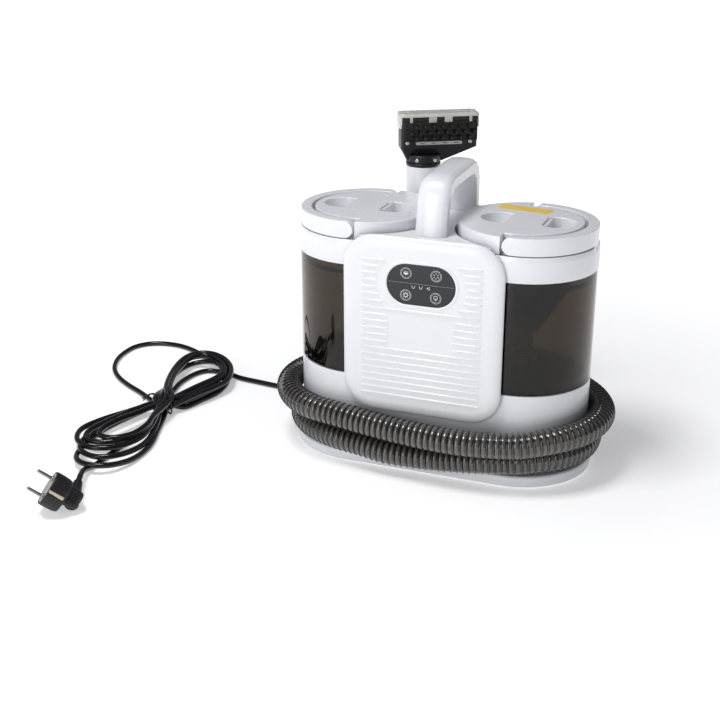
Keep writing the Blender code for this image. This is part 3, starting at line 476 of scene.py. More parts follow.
# ------------------------------------------------------------------ camera, floor and light
def build_stage():
    turn = math.radians(21.09)
    tilt = math.radians(21.79)
    roll = math.radians(-0.1)
    back = Vector((math.sin(turn) * math.cos(tilt), -math.cos(turn) * math.cos(tilt), math.sin(tilt)))
    right = Vector((math.cos(turn), math.sin(turn), 0.0))
    over = back.cross(right)
    rolled_right = math.cos(roll) * right + math.sin(roll) * over
    rolled_over = math.cos(roll) * over - math.sin(roll) * right
    place = Matrix((rolled_right, rolled_over, back)).transposed().to_4x4()
    place.translation = Vector((0.3567, -1.169 + AXIS_Y, 0.5847))
    lens = bpy.data.cameras.new("camera")
    lens.lens = 62.18
    lens.sensor_width = 36.0
    camera = bpy.data.objects.new("camera", lens)
    camera.matrix_world = place
    bpy.context.collection.objects.link(camera)
    bpy.context.scene.camera = camera

    floor_mesh = bpy.data.meshes.new("floor")
    floor_mesh.from_pydata([(-40, -40, 0), (40, -40, 0), (40, 40, 0), (-40, 40, 0)], [], [(0, 1, 2, 3)])
    floor = bpy.data.objects.new("floor", floor_mesh)
    bpy.context.collection.objects.link(floor)
    made, tree, shader = nodes_of("pale_glowing_floor")
    shader.inputs["Base Color"].default_value = (0.93, 0.93, 0.935, 1.0)
    shader.inputs["Roughness"].default_value = 0.55
    # The floor glows as painted light: emission rises from 0.34 near the object to 1.0 far out, so the far floor
    # reads white and the glow is weakest near the object.
    shader.inputs["Emission Color"].default_value = (1.0, 1.0, 1.0, 1.0)
    coords = tree.nodes.new("ShaderNodeTexCoord")
    mapping = tree.nodes.new("ShaderNodeMapping")
    mapping.inputs["Scale"].default_value = (0.8, 0.8, 0.8)
    tree.links.new(coords.outputs["Object"], mapping.inputs["Vector"])
    nearness = tree.nodes.new("ShaderNodeTexGradient")
    nearness.gradient_type = "SPHERICAL"
    tree.links.new(mapping.outputs["Vector"], nearness.inputs["Vector"])
    tree.links.new(spread(tree, nearness.outputs["Fac"], 1.0, 0.34, 0.1, 0.8), shader.inputs["Emission Strength"])
    floor_mesh.materials.append(made)

    world = bpy.data.worlds.new("studio")
    world.use_nodes = True
    world.node_tree.nodes["Background"].inputs["Color"].default_value = (0.93, 0.94, 1.0, 1.0)
    world.node_tree.nodes["Background"].inputs["Strength"].default_value = 0.2
    bpy.context.scene.world = world
    bpy.context.scene.view_settings.view_transform = "Standard"
    lamps = (("key", (-0.6, -2.1, 0.75), (0.9, 1.3), 11.5), ("top", (-0.35, -0.45, 1.55), (0.5, 0.5), 14.0))
    for name, spot, size, power in lamps:
        light = bpy.data.lights.new(name, "AREA")
        light.shape = "RECTANGLE"
        light.size, light.size_y = size
        light.energy = power
        lamp = bpy.data.objects.new(name, light)
        lamp.location = spot
        lamp.rotation_euler = (Vector((0.0, 0.0, 0.15)) - Vector(spot)).to_track_quat("-Z", "Y").to_euler()
        bpy.context.collection.objects.link(lamp)


# ------------------------------------------------------------------ base
def build_base():
    profile = rounded([(0.06, 0.001), (0.0754, 0.001, 0.001), (0.0765, 0.0022, 0.0012),
                       (0.0765, 0.013, 0.0026), (0.05, 0.013)])
    put("plinth_shell", skin([stadium(r, z) for r, z in profile]), WHITE, "main", ["plinth"])

    profile = rounded([(0.05, 0.0133), (0.0585, 0.0133, 0.003), (0.056, 0.0175, 0.004), (0.056, 0.043, 0.004),
                       (0.0692, 0.0482, 0.003), (0.0705, 0.0505, 0.003), (0.0705, 0.098, 0.0012),
                       (0.064, 0.098)])
    put("base_shell", skin([stadium(r, z) for r, z in profile]), WHITE, "main", ["lower_body"])

    feet = []
    for n in (1, 2, 3, 4):
        low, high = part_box("foot_%d" % n)
        x = 0.5 * (low.x + high.x)
        y = 0.5 * (low.y + high.y)
        profile = rounded([(0.002, 0.0006), (0.004, 0.0006, 0.0005), (0.0046, 0.0, 0.0006), (0.0072, 0.0, 0.0009),
                           (0.0077, 0.0012, 0.0006), (0.0077, 0.0037), (0.002, 0.0037)])
        put("foot_pad_%d" % n, lathe(profile, x, y, sides=40), RUBBER, "main", ["foot_%d" % n],
            offset=False)
        feet.append((x, y))
    for name, material in (("control_board", BOARD), ("blower_motor", MOTOR), ("blower_housing", BLACK),
                           ("water_pump", BLACK), ("water_line", GREY), ("suction_duct", BLACK),
                           ("suction_port", RUBBER), ("water_socket", GREY), ("impeller", GREY),
                           ("tower", WHITE), ("standpipe", BLACK), ("float_cage", BLACK), ("float_ball", GREY),
                           ("valve_seat", BEIGE), ("outlet_valve", RUBBER), ("fill_strainer", BLACK),
                           ("left_lid_seal", RUBBER), ("right_lid_seal", RUBBER), ("cord_gland", RUBBER),
                           ("hose_port", WHITE), ("wand_dock", WHITE), ("head_collar", BLACK)):
        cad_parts[name].data.materials.clear()
        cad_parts[name].data.materials.append(material)


def panel_ring(inset, y):
    return [(x, y, z) for x, z, _ in box_ring(-0.0824 + inset, 0.0824 - inset, 0.0652 + inset, 0.25 - inset,
                                              0.033 - inset * 0.9, 0.0, 14)]


def oval(grow, y):
    radius = 0.0205 + grow
    return [(x, y, z + DISPLAY_Z) for x, z, _ in stadium(radius, 0.0, DISPLAY_HALF, 32)]


def rib(x0, x1, z):
    section = ((-0.0011, 0.0), (-0.0009, 0.00035), (-0.0007, 0.00085), (-0.0002, 0.00115), (0.0005, 0.00105),
               (0.0009, 0.0006), (0.0013, 0.0), (0.0, -0.0004))
    rings = []
    for x, grow in ((x0, 0.02), (x0 + 0.0005, 0.7), (x0 + 0.0014, 1.0), (x1 - 0.0014, 1.0), (x1 - 0.0005, 0.7),
                    (x1, 0.02)):
        rings.append([(x, PANEL_FRONT - grow * out + 0.00001, z + grow * up) for up, out in section])
    return skin(rings)


def build_panel():
    profile = [(0.001, 0.0069), (0.0003, 0.0067), (0.0, 0.0062), (0.0, 0.0054)]
    for k in range(1, 13):
        a = 0.5 * math.pi * k / 12
        profile.append((0.012 * (1.0 - math.cos(a)) ** 0.9, 0.0054 * (1.0 - math.sin(a)) ** 1.0))
    profile.append((0.014, 0.0))
    put("panel_shell", skin([panel_ring(inset, PANEL_FRONT + back) for inset, back in profile]), PANEL, "main",
        ["front_panel"])
    ribs = []
    for k in range(21):
        z = 0.2265 - RIB_PITCH * k
        rise = z - DISPLAY_Z
        inner = 0.0
        if abs(rise) < 0.0255:
            inner = DISPLAY_HALF + math.sqrt(0.031 ** 2 - rise ** 2)
        if 0.14 < z < 0.17:
            inner = 0.033
        if inner:
            ribs += [rib(-RIB_REACH, -inner, z), rib(inner, RIB_REACH, z)]
        else:
            ribs.append(rib(-RIB_REACH, RIB_REACH, z))
    put("panel_ribs", merged(*ribs), PANEL, "main", sharp=50.0)
    rim = [(0.0042, 0.0002), (0.0036, -0.00025), (0.0028, -0.00055), (0.0018, -0.00065), (0.0009, -0.00055),
           (0.0003, -0.0002), (0.0001, 0.0006), (0.0042, 0.0006)]
    put("display_rim", skin([oval(grow, PANEL_FRONT + y) for grow, y in rim], loop=True), PANEL, "main",
        sharp=45.0)
    lens = [(0.0006, 0.0009), (0.0006, 0.0001), (0.0001, -0.0001), (-0.001, -0.00014)]
    put("display_lens", skin([oval(grow, PANEL_FRONT + y) for grow, y in lens]), LENS, "main",
        ["display_window"])

    face = PANEL_FRONT - 0.00014
    prints = []

    def ring(x, z, radius, width, sides=40):
        profile = ((radius - width, -0.0001), (radius - width, 0.00008), (radius, 0.00008), (radius, -0.0001))
        return shifted(stand(lathe(profile, loop=True, sides=sides), face), x, 0.0, z)

    def bar(x, z, length, width, turn):
        block = soft_box(-0.5 * length, 0.5 * length, -0.5 * width, 0.5 * width, -0.0001, 0.00008, 0.00003,
                         0.3 * width)
        block = moved(block, Matrix.Rotation(math.radians(turn), 4, "Z"))
        return shifted(stand(block, face), x, 0.0, z)

    def dot(x, z, radius):
        return shifted(stand(lathe(((radius, -0.0001), (radius, 0.00008)), sides=20), face), x, 0.0, z)

    for x, z in ((-0.0153, 0.2157), (0.0153, 0.2157), (-0.0153, 0.1933), (0.0153, 0.1933)):
        prints += [ring(x, z, 0.0056, 0.0003), ring(x, z, 0.0045, 0.00018)]
    for k in range(6):
        prints.append(bar(-0.0153, 0.216 - 0.0004 * k, 0.0052 - 0.00016 * k * k, 0.0005, 0.0))
    for k in range(5):
        prints.append(dot(-0.0171 + 0.0009 * k, 0.2172 + (0.0004 if k % 2 else 0.0), 0.00035))
    for k in range(6):
        a = 60.0 * k + 30.0
        prints.append(bar(0.0153 + 0.0023 * math.cos(math.radians(a)), 0.2157 + 0.0023 * math.sin(math.radians(a)),
                          0.0013, 0.0006, a))
    prints.append(ring(-0.0153, 0.1933, 0.0021, 0.0006))
    for k in range(8):
        a = 45.0 * k
        prints.append(bar(-0.0153 + 0.0027 * math.cos(math.radians(a)), 0.1933 + 0.0027 * math.sin(math.radians(a)),
                          0.0009, 0.0005, a))
    prints.append(ring(0.0153, 0.1939, 0.0021, 0.0005))
    prints += [bar(0.0153, 0.1922, 0.0022, 0.0005, 90.0), bar(0.0153, 0.1912, 0.0018, 0.0005, 0.0)]
    for x in (-0.0076, 0.0):
        prints += [bar(x, 0.2012, 0.0022, 0.0004, 0.0), bar(x - 0.0013, 0.2026, 0.0026, 0.0004, 106.0),
                   bar(x + 0.0013, 0.2026, 0.0026, 0.0004, 74.0)]
    prints += [dot(0.007, 0.2025, 0.0007), dot(0.0087, 0.2034, 0.0005), dot(0.0087, 0.2014, 0.0006)]
    put("display_print", merged(*prints), PRINT, "main", sharp=60.0)
    seam = stand(soft_box(-0.0335, 0.0335, -0.0001, 0.0001, -0.0001, 0.00003, 0.00002, 0.00005), face)
    put("display_seam", shifted(seam, z=0.2058), GREY, "main", sharp=60.0)

    outer = rounded([(-0.078, 0.078, 0.02), (0.078, 0.078, 0.02), (0.078, 0.2468, 0.02),
                     (-0.078, 0.2468, 0.02)], True, 12)
    slots = []
    for k in range(9):
        z = 0.115 + 0.0065 * k
        slots.append(rounded([(-0.03, z, 0.0015), (0.03, z, 0.0015), (0.03, z + 0.0032, 0.0015),
                              (-0.03, z + 0.0032, 0.0015)], True, 5))
    cover = plate([outer] + slots, 0.0, 0.0058, 0.0009)
    put("rear_shell", shifted(stand(cover, 0.0), y=0.0792), WHITE, "main", ["rear_cover"])
    screws = [screw_head((x, 0.079, z), (0.0, 1.0, 0.0), 0.0032) for x in (-0.065, 0.065) for z in (0.092, 0.232)]
    put("rear_screws", merged(*screws), STEEL, "main", sharp=40.0)


def build_handle():
    outer = [(-0.058, 0.2472), (-0.055, 0.261), (-0.0515, 0.279), (-0.048, 0.2895), (-0.042, 0.2975),
             (-0.032, 0.3022), (-0.015, 0.3038), (0.02, 0.3044), (0.046, 0.304), (0.056, 0.301),
             (0.063, 0.2945), (0.0662, 0.285), (0.0672, 0.27), (0.0672, 0.2472)]
    inner = [(-0.044, 0.2472), (-0.0425, 0.259), (-0.0395, 0.2712), (-0.036, 0.2802), (-0.03, 0.2858),
             (-0.02, 0.2886), (0.01, 0.2892), (0.038, 0.2888), (0.046, 0.2858), (0.0505, 0.279),
             (0.052, 0.27), (0.052, 0.2472)]
    out_line = spaced([(0.0, y, z) for y, z in outer], 0.0022)
    count = len(out_line)
    in_fine = spaced([(0.0, y, z) for y, z in inner], 0.0008)
    reach = np.linspace(0.0, len(in_fine) - 1, count)
    in_line = [in_fine[int(round(k))] for k in reach]
    half = 0.0158
    rings = []
    for a, b in zip(out_line, in_line):
        across = b - a
        thick = across.length
        across.normalize()
        chamfer = 0.0052
        ring = []
        for x, depth in ((-half, thick - 0.0016), (-half, chamfer), (-half + 0.0006, chamfer - 0.0012),
                         (-half + chamfer - 0.001, 0.0014), (-half + chamfer + 0.0004, 0.0008), (-0.0045, 0.0002),
                         (0.0, 0.0), (0.0045, 0.0002), (half - chamfer - 0.0004, 0.0008),
                         (half - chamfer + 0.001, 0.0014), (half - 0.0006, chamfer - 0.0012), (half, chamfer),
                         (half, thick - 0.0016), (half - 0.0005, thick - 0.0005), (half - 0.0016, thick),
                         (0.0, thick + 0.0002), (-half + 0.0016, thick), (-half + 0.0005, thick - 0.0005)):
            point = a + depth * across
            ring.append((x, point.y, point.z))
        rings.append(ring)
    put("handle_shell", skin(rings), WHITE, "main", ["carry_handle"], sharp=28.0)


# ------------------------------------------------------------------ tanks, lids and bails
def recess_outline(way, steps=20):
    corner = 0.028 - RECESS_R
    start = -90.0 if way > 0 else 90.0
    arc_part = arc(way * (FLAT + corner), 0.0, RECESS_R, start, start + 180.0, steps)
    return [(way * FLAT, -way * RECESS_R)] + arc_part + [(way * FLAT, way * RECESS_R)]


def soft_recess(way):
    outline = recess_outline(way)
    pts = [(x, y, 0.003) if i in (0, len(outline) - 1) else (x, y) for i, (x, y) in enumerate(outline)]
    if way < 0:
        pts = pts[:-1] + [(-FLAT, -RECESS_R, 0.002)]
    return rounded(pts, True, 4)


def build_tank(side, x):
    body = side + "_tank_body"
    out = -1.0 if x < 0 else 1.0
    profile = rounded([(0.05, TANK_BOTTOM), (TANK_R, TANK_BOTTOM, 0.0022), (TANK_R, 0.21, 0.0), (TANK_R, 0.2147),
                       (0.0683, 0.216, 0.0006), (0.0683, 0.2387), (0.066, 0.2387), (0.066, 0.216),
                       (0.0683, 0.21, 0.0), (0.0683, 0.1012, 0.003), (0.05, 0.101)])
    put(side + "_tank_shell", lathe(profile, x, sides=128), SMOKE, body, [side + "_tank"], sharp=25.0)
    profile = rounded([(0.0687, 0.2144), (0.0711, 0.2142, 0.0006), (0.0715, 0.22, 0.003), (0.0716, 0.227, 0.004),
                       (0.0713, 0.235, 0.003), (0.0703, 0.2397, 0.0008), (0.0687, 0.2397)], True, 4)
    verts, faces = lathe(profile, x, loop=True, sides=160)
    scooped = []
    for vx, vy, vz in verts:
        wide = max(0.0, 1.0 - (vy / 0.0125) ** 4) if (vx - x) * out > 0 else 0.0
        tall = min(1.0, max(0.0, (vz - 0.2325) / 0.0062))
        depth = 0.0022 * wide * tall
        radius = math.hypot(vx - x, vy)
        if radius > 0.0695:
            keep = (radius - depth) / radius
            vx, vy = x + (vx - x) * keep, vy * keep
        scooped.append((vx, vy, vz))
    put(side + "_collar_shell", (scooped, faces), WHITE, body, [side + "_collar"], sharp=30.0)
    profile = rounded([(0.06, 0.203, 0.001), (0.0672, 0.203, 0.001), (0.0672, 0.2062, 0.001),
                       (0.06, 0.2062, 0.001)], True, 3)
    put(side + "_baffle", lathe(profile, x, loop=True, sides=96), BLACK, body)


def build_lid(side, x):
    body = side + "_lid_body"
    out = -1.0 if x < 0 else 1.0
    step_full = math.degrees(math.acos(LID_STEP / LID_R))
    step_cut = math.degrees(math.acos(LID_STEP / LID_CUT_R))
    base = 0.0 if out < 0 else 180.0
    outline = arc(0.0, 0.0, LID_R, base - step_full, base + step_full, 60)
    outline += arc(0.0, 0.0, LID_CUT_R, base + step_cut, base + 360.0 - step_cut, 60)
    near_handle = TANK_X - 0.0161
    outline = [(-out * min(-out * px, near_handle), py) for px, py in outline]
    slot = [(FLAT - 0.003, -0.0145, 0.0005), (FLAT - 0.0012, -0.0145, 0.0005), (FLAT - 0.0012, 0.0165, 0.0005),
            (FLAT - 0.003, 0.0165, 0.0005)]
    holes = [soft_recess(-1.0), soft_recess(1.0), rounded(slot, True, 3)]
    top = plate([outline] + holes, 0.2402, LID_TOP, 0.0009)
    floors = []
    for way in (-1.0, 1.0):
        spots = [(px + way * 0.0002, py) for px, py in recess_outline(way)]
        floors.append(shifted(skin([[(px, py, z) for px, py in spots] for z in (0.2412, RECESS_FLOOR)])))
    neck = lathe(rounded([(0.06, 0.229), (0.06, 0.2283, 0.0004), (0.064, 0.2283, 0.0005), (0.064, 0.2405),
                          (0.04, 0.2405), (0.04, 0.2385), (0.06, 0.2385)]), loop=True, sides=96)
    put(side + "_lid_shell", shifted(merged(top, *floors, neck), x), WHITE, body, [side + "_lid"],
        sharp=35.0)
    tab = [soft_box(x + FLAT - 0.0011, x + FLAT + 0.0024, -0.0135, 0.015, 0.2553, 0.2578, 0.0005, 0.0008),
           soft_box(x + FLAT - 0.0011, x + FLAT + 0.0006, -0.0125, 0.014, 0.246, 0.2556, 0.0003, 0.0005)]
    put(side + "_latch_tab", merged(*tab), WHITE, side + "_latch_body", [side + "_latch"])

    half_h = 0.5 * (LID_TOP - BAIL_BOTTOM)
    pivot_z = 0.5 * (LID_TOP + BAIL_BOTTOM)
    mid_r = 0.5 * (LID_R + BAIL_R_IN)
    half_w = 0.5 * (LID_R - BAIL_R_IN)
    unit = rounded([(-1.0, -1.0, 0.16), (1.0, -1.0, 0.16), (1.0, 1.0, 0.16), (-1.0, 1.0, 0.16)], True, 4)
    rings = []

    def station(px, py, normal_x, normal_y, height):
        ring = []
        for a, b in unit:
            ring.append((px + normal_x * half_w * a, py + normal_y * half_w * a, pivot_z + b * height))
        return ring

    ends = [0.5 * math.pi * k / 10 for k in range(10)]
    for a in reversed(ends):
        rings.append(station(x - out * half_h * math.sin(a), -mid_r, 0.0, -1.0, half_h * math.cos(a)))
    for i in range(1, 96):
        a = -0.5 * math.pi + math.pi * i / 96
        cx = out * math.cos(a)
        cy = math.sin(a)
        rings.append(station(x + mid_r * cx, mid_r * cy, cx, cy, half_h))
    for a in ends:
        rings.append(station(x - out * half_h * math.sin(a), mid_r, 0.0, 1.0, half_h * math.cos(a)))
    put(side + "_bail_shell", skin(rings), WHITE, side + "_bail_body", [side + "_bail"], sharp=35.0)


def build_label():
    corners = [(0.046, 0.0512), (0.0425, 0.034), (0.097, 0.0255), (0.1003, 0.0438)]
    rings = [[(x, y, z) for x, y in corners] for z in (LID_TOP - 0.0002, LID_TOP + 0.00015)]
    put("lid_label", skin(rings), LABEL, "right_lid_body")


# ------------------------------------------------------------------ wand
def wand_point(u, n, z):
    cu = math.cos(WAND_TURN)
    su = math.sin(WAND_TURN)
    return (WAND.x + u * cu + n * su, WAND.y + u * su - n * cu, z)


def wand_frame():
    """Matrix from (u, out of the face, up) with the face at n = 0 to tank coordinates; local y is -n."""
    return Matrix.Translation((WAND.x, WAND.y, 0.0)) @ Matrix.Rotation(WAND_TURN, 4, "Z")


def head_outline(grow, left=HEAD_LEFT, right=HEAD_RIGHT, back=-0.012, front=0.01, corner=0.0035, steps=9):
    return [(p[0], p[1]) for p in box_ring(left - grow, right + grow, -front - grow, -back + grow,
                                           max(corner + grow, 0.0004), 0.0, steps)]


def head_ring(grow, z):
    return [wand_frame() @ Vector((u, y, z)) for u, y in head_outline(grow)]


def web_ring(z):
    """Section of the web that widens from the neck band to the flat head."""
    share = (z - NECK_BOTTOM) / (HEAD_BOTTOM - NECK_BOTTOM)
    ring = []
    for u, y in head_outline(0.0):
        low_u = -0.018 + 0.0365 * (u - HEAD_LEFT) / (HEAD_RIGHT - HEAD_LEFT)
        ring.append(wand_frame() @ Vector((low_u + (u - low_u) * share, y * (0.5 + 0.5 * share), z)))
    return ring


def build_wand():
    profile = rounded([(0.01, 0.2), (0.0176, 0.2, 0.001), (0.0181, 0.2366), (0.0212, 0.2366, 0.0008),
                       (0.0212, 0.2405, 0.0012), (0.0186, 0.242, 0.0015), (0.0186, 0.2802, 0.0006),
                       (0.01, 0.2802)])
    grip = lathe(profile, WAND.x, WAND.y, sides=96)
    put("grip_shell", grip, WHITE, "wand", ["wand_grip"])
    pts = [(-0.014, 0.2742, 0.001), (-0.0172, 0.2756, 0.001), (-0.02, 0.27, 0.006), (-0.0236, 0.252, 0.002),
           (-0.0222, 0.2484, 0.001), (-0.019, 0.25, 0.004), (-0.0158, 0.269, 0.002)]
    line = rounded(pts, True, 4)
    rings = []
    for u, shrink in ((-0.0066, 0.0008), (-0.0061, 0.0002), (-0.005, 0.0), (0.005, 0.0), (0.0061, 0.0002),
                      (0.0066, 0.0008)):
        ring = []
        for n, z in line:
            pull = Vector((-0.019 - n, 0.263 - z)).normalized() * shrink
            ring.append(wand_point(u, n + pull.x, z + pull.y))
        rings.append(ring)
    put("trigger_shell", skin(rings), BLACK, "wand_trigger", ["trigger"])
    bezel = box_ring(-0.008, 0.008, 0.2452, 0.2784, 0.0018, 0.0, 4)
    frame_rings = []
    for inset, n in ((0.0, -0.0165), (0.0, -0.019), (0.0004, -0.0194), (0.0012, -0.0194), (0.0012, -0.0165)):
        ring = []
        for u, z, _ in bezel:
            scale_u = (abs(u) - inset) / max(abs(u), 1e-6)
            middle = 0.2618
            scale_z = (abs(z - middle) - inset) / max(abs(z - middle), 1e-6)
            ring.append(wand_point(u * scale_u, n, middle + (z - middle) * scale_z))
        frame_rings.append(ring)
    put("trigger_bezel", skin(frame_rings, loop=True), BLACK, "wand")
    profile = [(0.012, 0.176), (0.016, 0.1762)]
    for k in range(5):
        z = 0.1775 + 0.0042 * k
        profile += [(0.0168, z), (0.0168, z + 0.0026), (0.0162, z + 0.003), (0.0162, z + 0.0038)]
    profile += [(0.016, 0.1994), (0.012, 0.1996)]
    put("cuff_shell", lathe(profile, WAND.x, WAND.y, sides=72), BLACK, "wand", ["wand_cuff"])
    profile = rounded([(0.01, 0.2805), (0.0184, 0.2805, 0.001), (0.0189, 0.2817, 0.001), (0.0189, 0.2836, 0.0006),
                       (0.0182, 0.2842, 0.0003), (0.01, 0.2842)])
    screws = []
    for u in (-0.0103, 0.0092):
        n = math.sqrt(NECK_R ** 2 - u * u)
        way = Vector(wand_point(u, n, 0.0)) - Vector(wand_point(0, 0, 0))
        screws.append(screw_head(wand_point(u, n - 0.0002, 0.2879), way, 0.0021))
    put("collar_ring", lathe(profile, WAND.x, WAND.y, sides=96), BLACK, "wand", ["head_collar"])

    web = skin([web_ring(0.2851), web_ring(0.2925), web_ring(0.2992), web_ring(0.2999), head_ring(0.0, 0.3005),
                head_ring(0.0, 0.3325), head_ring(-0.0005, 0.333)])
    band = lathe(rounded([(0.01, 0.2845), (0.0183, 0.2845, 0.0003), (0.0189, 0.2852, 0.0004),
                          (0.0189, 0.2921, 0.0005), (0.0183, 0.2927, 0.0003), (0.01, 0.2927)]), WAND.x, WAND.y)
    put("head_shell", merged(web, band), BLACK, "wand", ["brush_head"], sharp=25.0)

    to_face = wand_frame() @ Matrix.Translation((0.0, -0.01, 0.0))
    lip = merged(*[moved(stand(soft_box(u0, u1, z0, z1, -0.0002, out, 0.0003, 0.0006), 0.0), to_face)
                   for u0, u1, z0, z1, out in ((-0.021, 0.056, 0.3076, 0.3087, 0.001),
                                               (-0.021, 0.056, 0.3289, 0.333, 0.0012),
                                               (-0.0216, -0.0201, 0.3076, 0.3325, 0.001),
                                               (0.0551, 0.0566, 0.3076, 0.3325, 0.001))])
    put("face_frame", lip, BLACK, "wand", sharp=40.0)
    nubs = [moved(stand(soft_box(-0.0188, 0.0543, 0.309, 0.3287, -0.0002, 0.0008, 0.0003, 0.001), 0.0), to_face)]
    for z, first, count in ((0.3113, -0.011, 7), (0.3172, -0.0159, 8), (0.3233, -0.011, 7)):
        for k in range(count):
            u = first + 0.0097 * k
            spot = Vector(wand_point(u, 0.0106, z))
            way = Vector(wand_point(u, 1.0, z)) - Vector(wand_point(u, 0.0, z))
            nubs.append(turned(((0.0027, -0.0002), (0.0026, 0.001), (0.0022, 0.0038), (0.0017, 0.006),
                                (0.0013, 0.0069), (0.0006, 0.0073)), spot, way, 14))
    put("bristle_nubs", merged(*nubs), NUB, "wand", ["bristle_block"], sharp=40.0)
    bar = moved(stand(soft_box(-0.0108, 0.0402, 0.3037, 0.3073, -0.0002, 0.0016, 0.0005, 0.0017), 0.0), to_face)
    # The spray slots are drawn as thin black patches just proud of the grey bar: painted shade for the dark inside of
    # each slot.
    slot_shade_patches = [moved(stand(soft_box(u, u + 0.005, 0.30515, 0.30585, 0.001, 0.00172, 0.0001, 0.0003), 0.0), to_face)
             for u in (-0.0063, 0.0062, 0.0187, 0.0307)]
    put("spray_slot_bar", bar, GREY, "wand", ["spray_bar"], sharp=40.0)
    put("spray_slot_shade", merged(*slot_shade_patches), BLACK, "wand", sharp=40.0)
    outwards = Vector(wand_point(0, 1, 0)) - Vector(wand_point(0, 0, 0))
    for u in (-0.0197, 0.0489):
        screws.append(screw_head(wand_point(u, 0.0102, 0.306), outwards, 0.0022))
    put("head_screws", merged(*screws), STEEL, "wand", sharp=40.0)

    outer = [(0.002, 0.3215), (0.002, 0.334), (0.0016, 0.3356), (0.0006, 0.3368), (-0.0012, 0.3372)]
    inner = [(-0.0012, 0.3359), (-0.0002, 0.3356), (0.0006, 0.3348), (0.0009, 0.3338), (0.0009, 0.3215)]
    mouth_top = 0.3335
    rings = []
    for grow, z in outer + inner:
        ring = []
        for p in box_ring(HEAD_LEFT - grow, HEAD_RIGHT + grow, -0.01 - grow, 0.012 + grow,
                          0.004 + max(grow, 0.0), z, 9):
            front = p[1] < -0.0092
            ring.append(wand_frame() @ Vector((p[0], p[1], max(p[2], mouth_top) if front else p[2])))
        rings.append(ring)
    cap = skin(rings, caps=False)
    half = len(outer)
    size = len(rings[0])
    close = [tuple(range((half - 1) * size, half * size)), tuple(range(half * size, (half + 1) * size))]
    faces = [f for f in cap[1] if not (min(f) >= (half - 1) * size and max(f) < (half + 1) * size)]
    rim = [(i, (i + 1) % size, (2 * half - 1) * size + (i + 1) % size, (2 * half - 1) * size + i)
           for i in range(size)]
    put("cap_shell", (cap[0], faces + close + rim), CLEAR, "wand", ["head_cap"], sharp=30.0)
    clips = []
    for u, wide in ((-0.0175, 0.003), (0.003, 0.0085), (0.02, 0.0085), (0.047, 0.003)):
        clips.append(moved(stand(soft_box(u, u + wide, 0.3278, 0.3346, 0.0012, 0.0026, 0.0004, 0.001), 0.0), to_face))
    put("cap_clips", merged(*clips), CLEAR, "wand", sharp=40.0)


# ------------------------------------------------------------------ hose
def around(side, stations):
    """Route points round one tank, from (angle in degrees, radius, height)."""
    return [(side * TANK_X + r * math.cos(math.radians(a)), r * math.sin(math.radians(a)), z) for a, r, z in stations]


def hose_route():
    """Two turns round the machine and a part turn at the back, then up into the wand."""
    low = 0.013 + HOSE_R + 0.0004
    route = [(-0.0303, 0.072, low), (-0.056, 0.072, low)]
    route += around(-1, [(90, 0.072, low), (112, 0.0718, low), (135, 0.0714, low), (158, 0.0711, low),
                         (180, 0.071, low), (202, 0.071, low), (225, 0.071, low), (247, 0.0719, low),
                         (268, 0.0766, low)])
    route += [(-0.0625, -0.0815, 0.0267), (-0.034, -0.0857, 0.0246), (-0.012, -0.0862, 0.0243),
              (0.01, -0.0852, 0.0243), (0.029, -0.083, 0.0246), (0.049, -0.0814, 0.026),
              (0.064, -0.0796, 0.0268), (0.0795, -0.0755, low), (0.09, -0.0728, 0.0274)]
    route += around(1, [(-74, 0.0718, 0.0282), (-58, 0.0711, 0.0298), (-40, 0.0711, 0.0298), (-14, 0.0714, 0.0287),
                        (10, 0.0725, 0.028), (30, 0.0757, 0.0278), (50, 0.0804, 0.0288), (70, 0.0846, 0.0333),
                        (90, 0.0865, 0.0403)])
    route += [(0.045, 0.0865, 0.0509), (0.0, 0.0865, 0.054), (-0.045, 0.0865, 0.054)]
    route += around(-1, [(90, 0.0865, 0.054), (112, 0.0865, 0.0543), (135, 0.0864, 0.055), (158, 0.0862, 0.056),
                         (180, 0.086, 0.057), (202, 0.0858, 0.0577), (225, 0.0857, 0.058), (247, 0.0857, 0.0578),
                         (268, 0.086, 0.057)])
    route += [(-0.061, -0.089, 0.0549), (-0.032, -0.0919, 0.0529), (-0.009, -0.0938, 0.0519),
              (0.0125, -0.0952, 0.0514), (0.033, -0.096, 0.0512), (0.054, -0.095, 0.0512),
              (0.0735, -0.092, 0.0513), (0.092, -0.0876, 0.0514)]
    route += around(1, [(-75, 0.0866, 0.0523), (-62, 0.0853, 0.0545), (-47, 0.085, 0.0563), (-28, 0.085, 0.0576),
                        (-8, 0.085, 0.058), (12, 0.085, 0.058), (32, 0.085, 0.0581), (50, 0.0855, 0.0592),
                        (70, 0.0885, 0.0632), (90, 0.0945, 0.0692)])
    route += [(0.04, 0.098, 0.0785)]
    bend = 0.072
    end_z = 0.1754
    for i in range(1, 7):
        a = 0.5 * math.pi * i / 6
        route.append((WAND.x + bend * (1.0 - math.sin(a)), 0.0985 + (WAND.y - 0.0985) * i / 6,
                      end_z - 0.021 - bend * math.cos(a)))
    return route + [(WAND.x, WAND.y, end_z - 0.014), (WAND.x, WAND.y, end_z - 0.007), (WAND.x, WAND.y, end_z)]


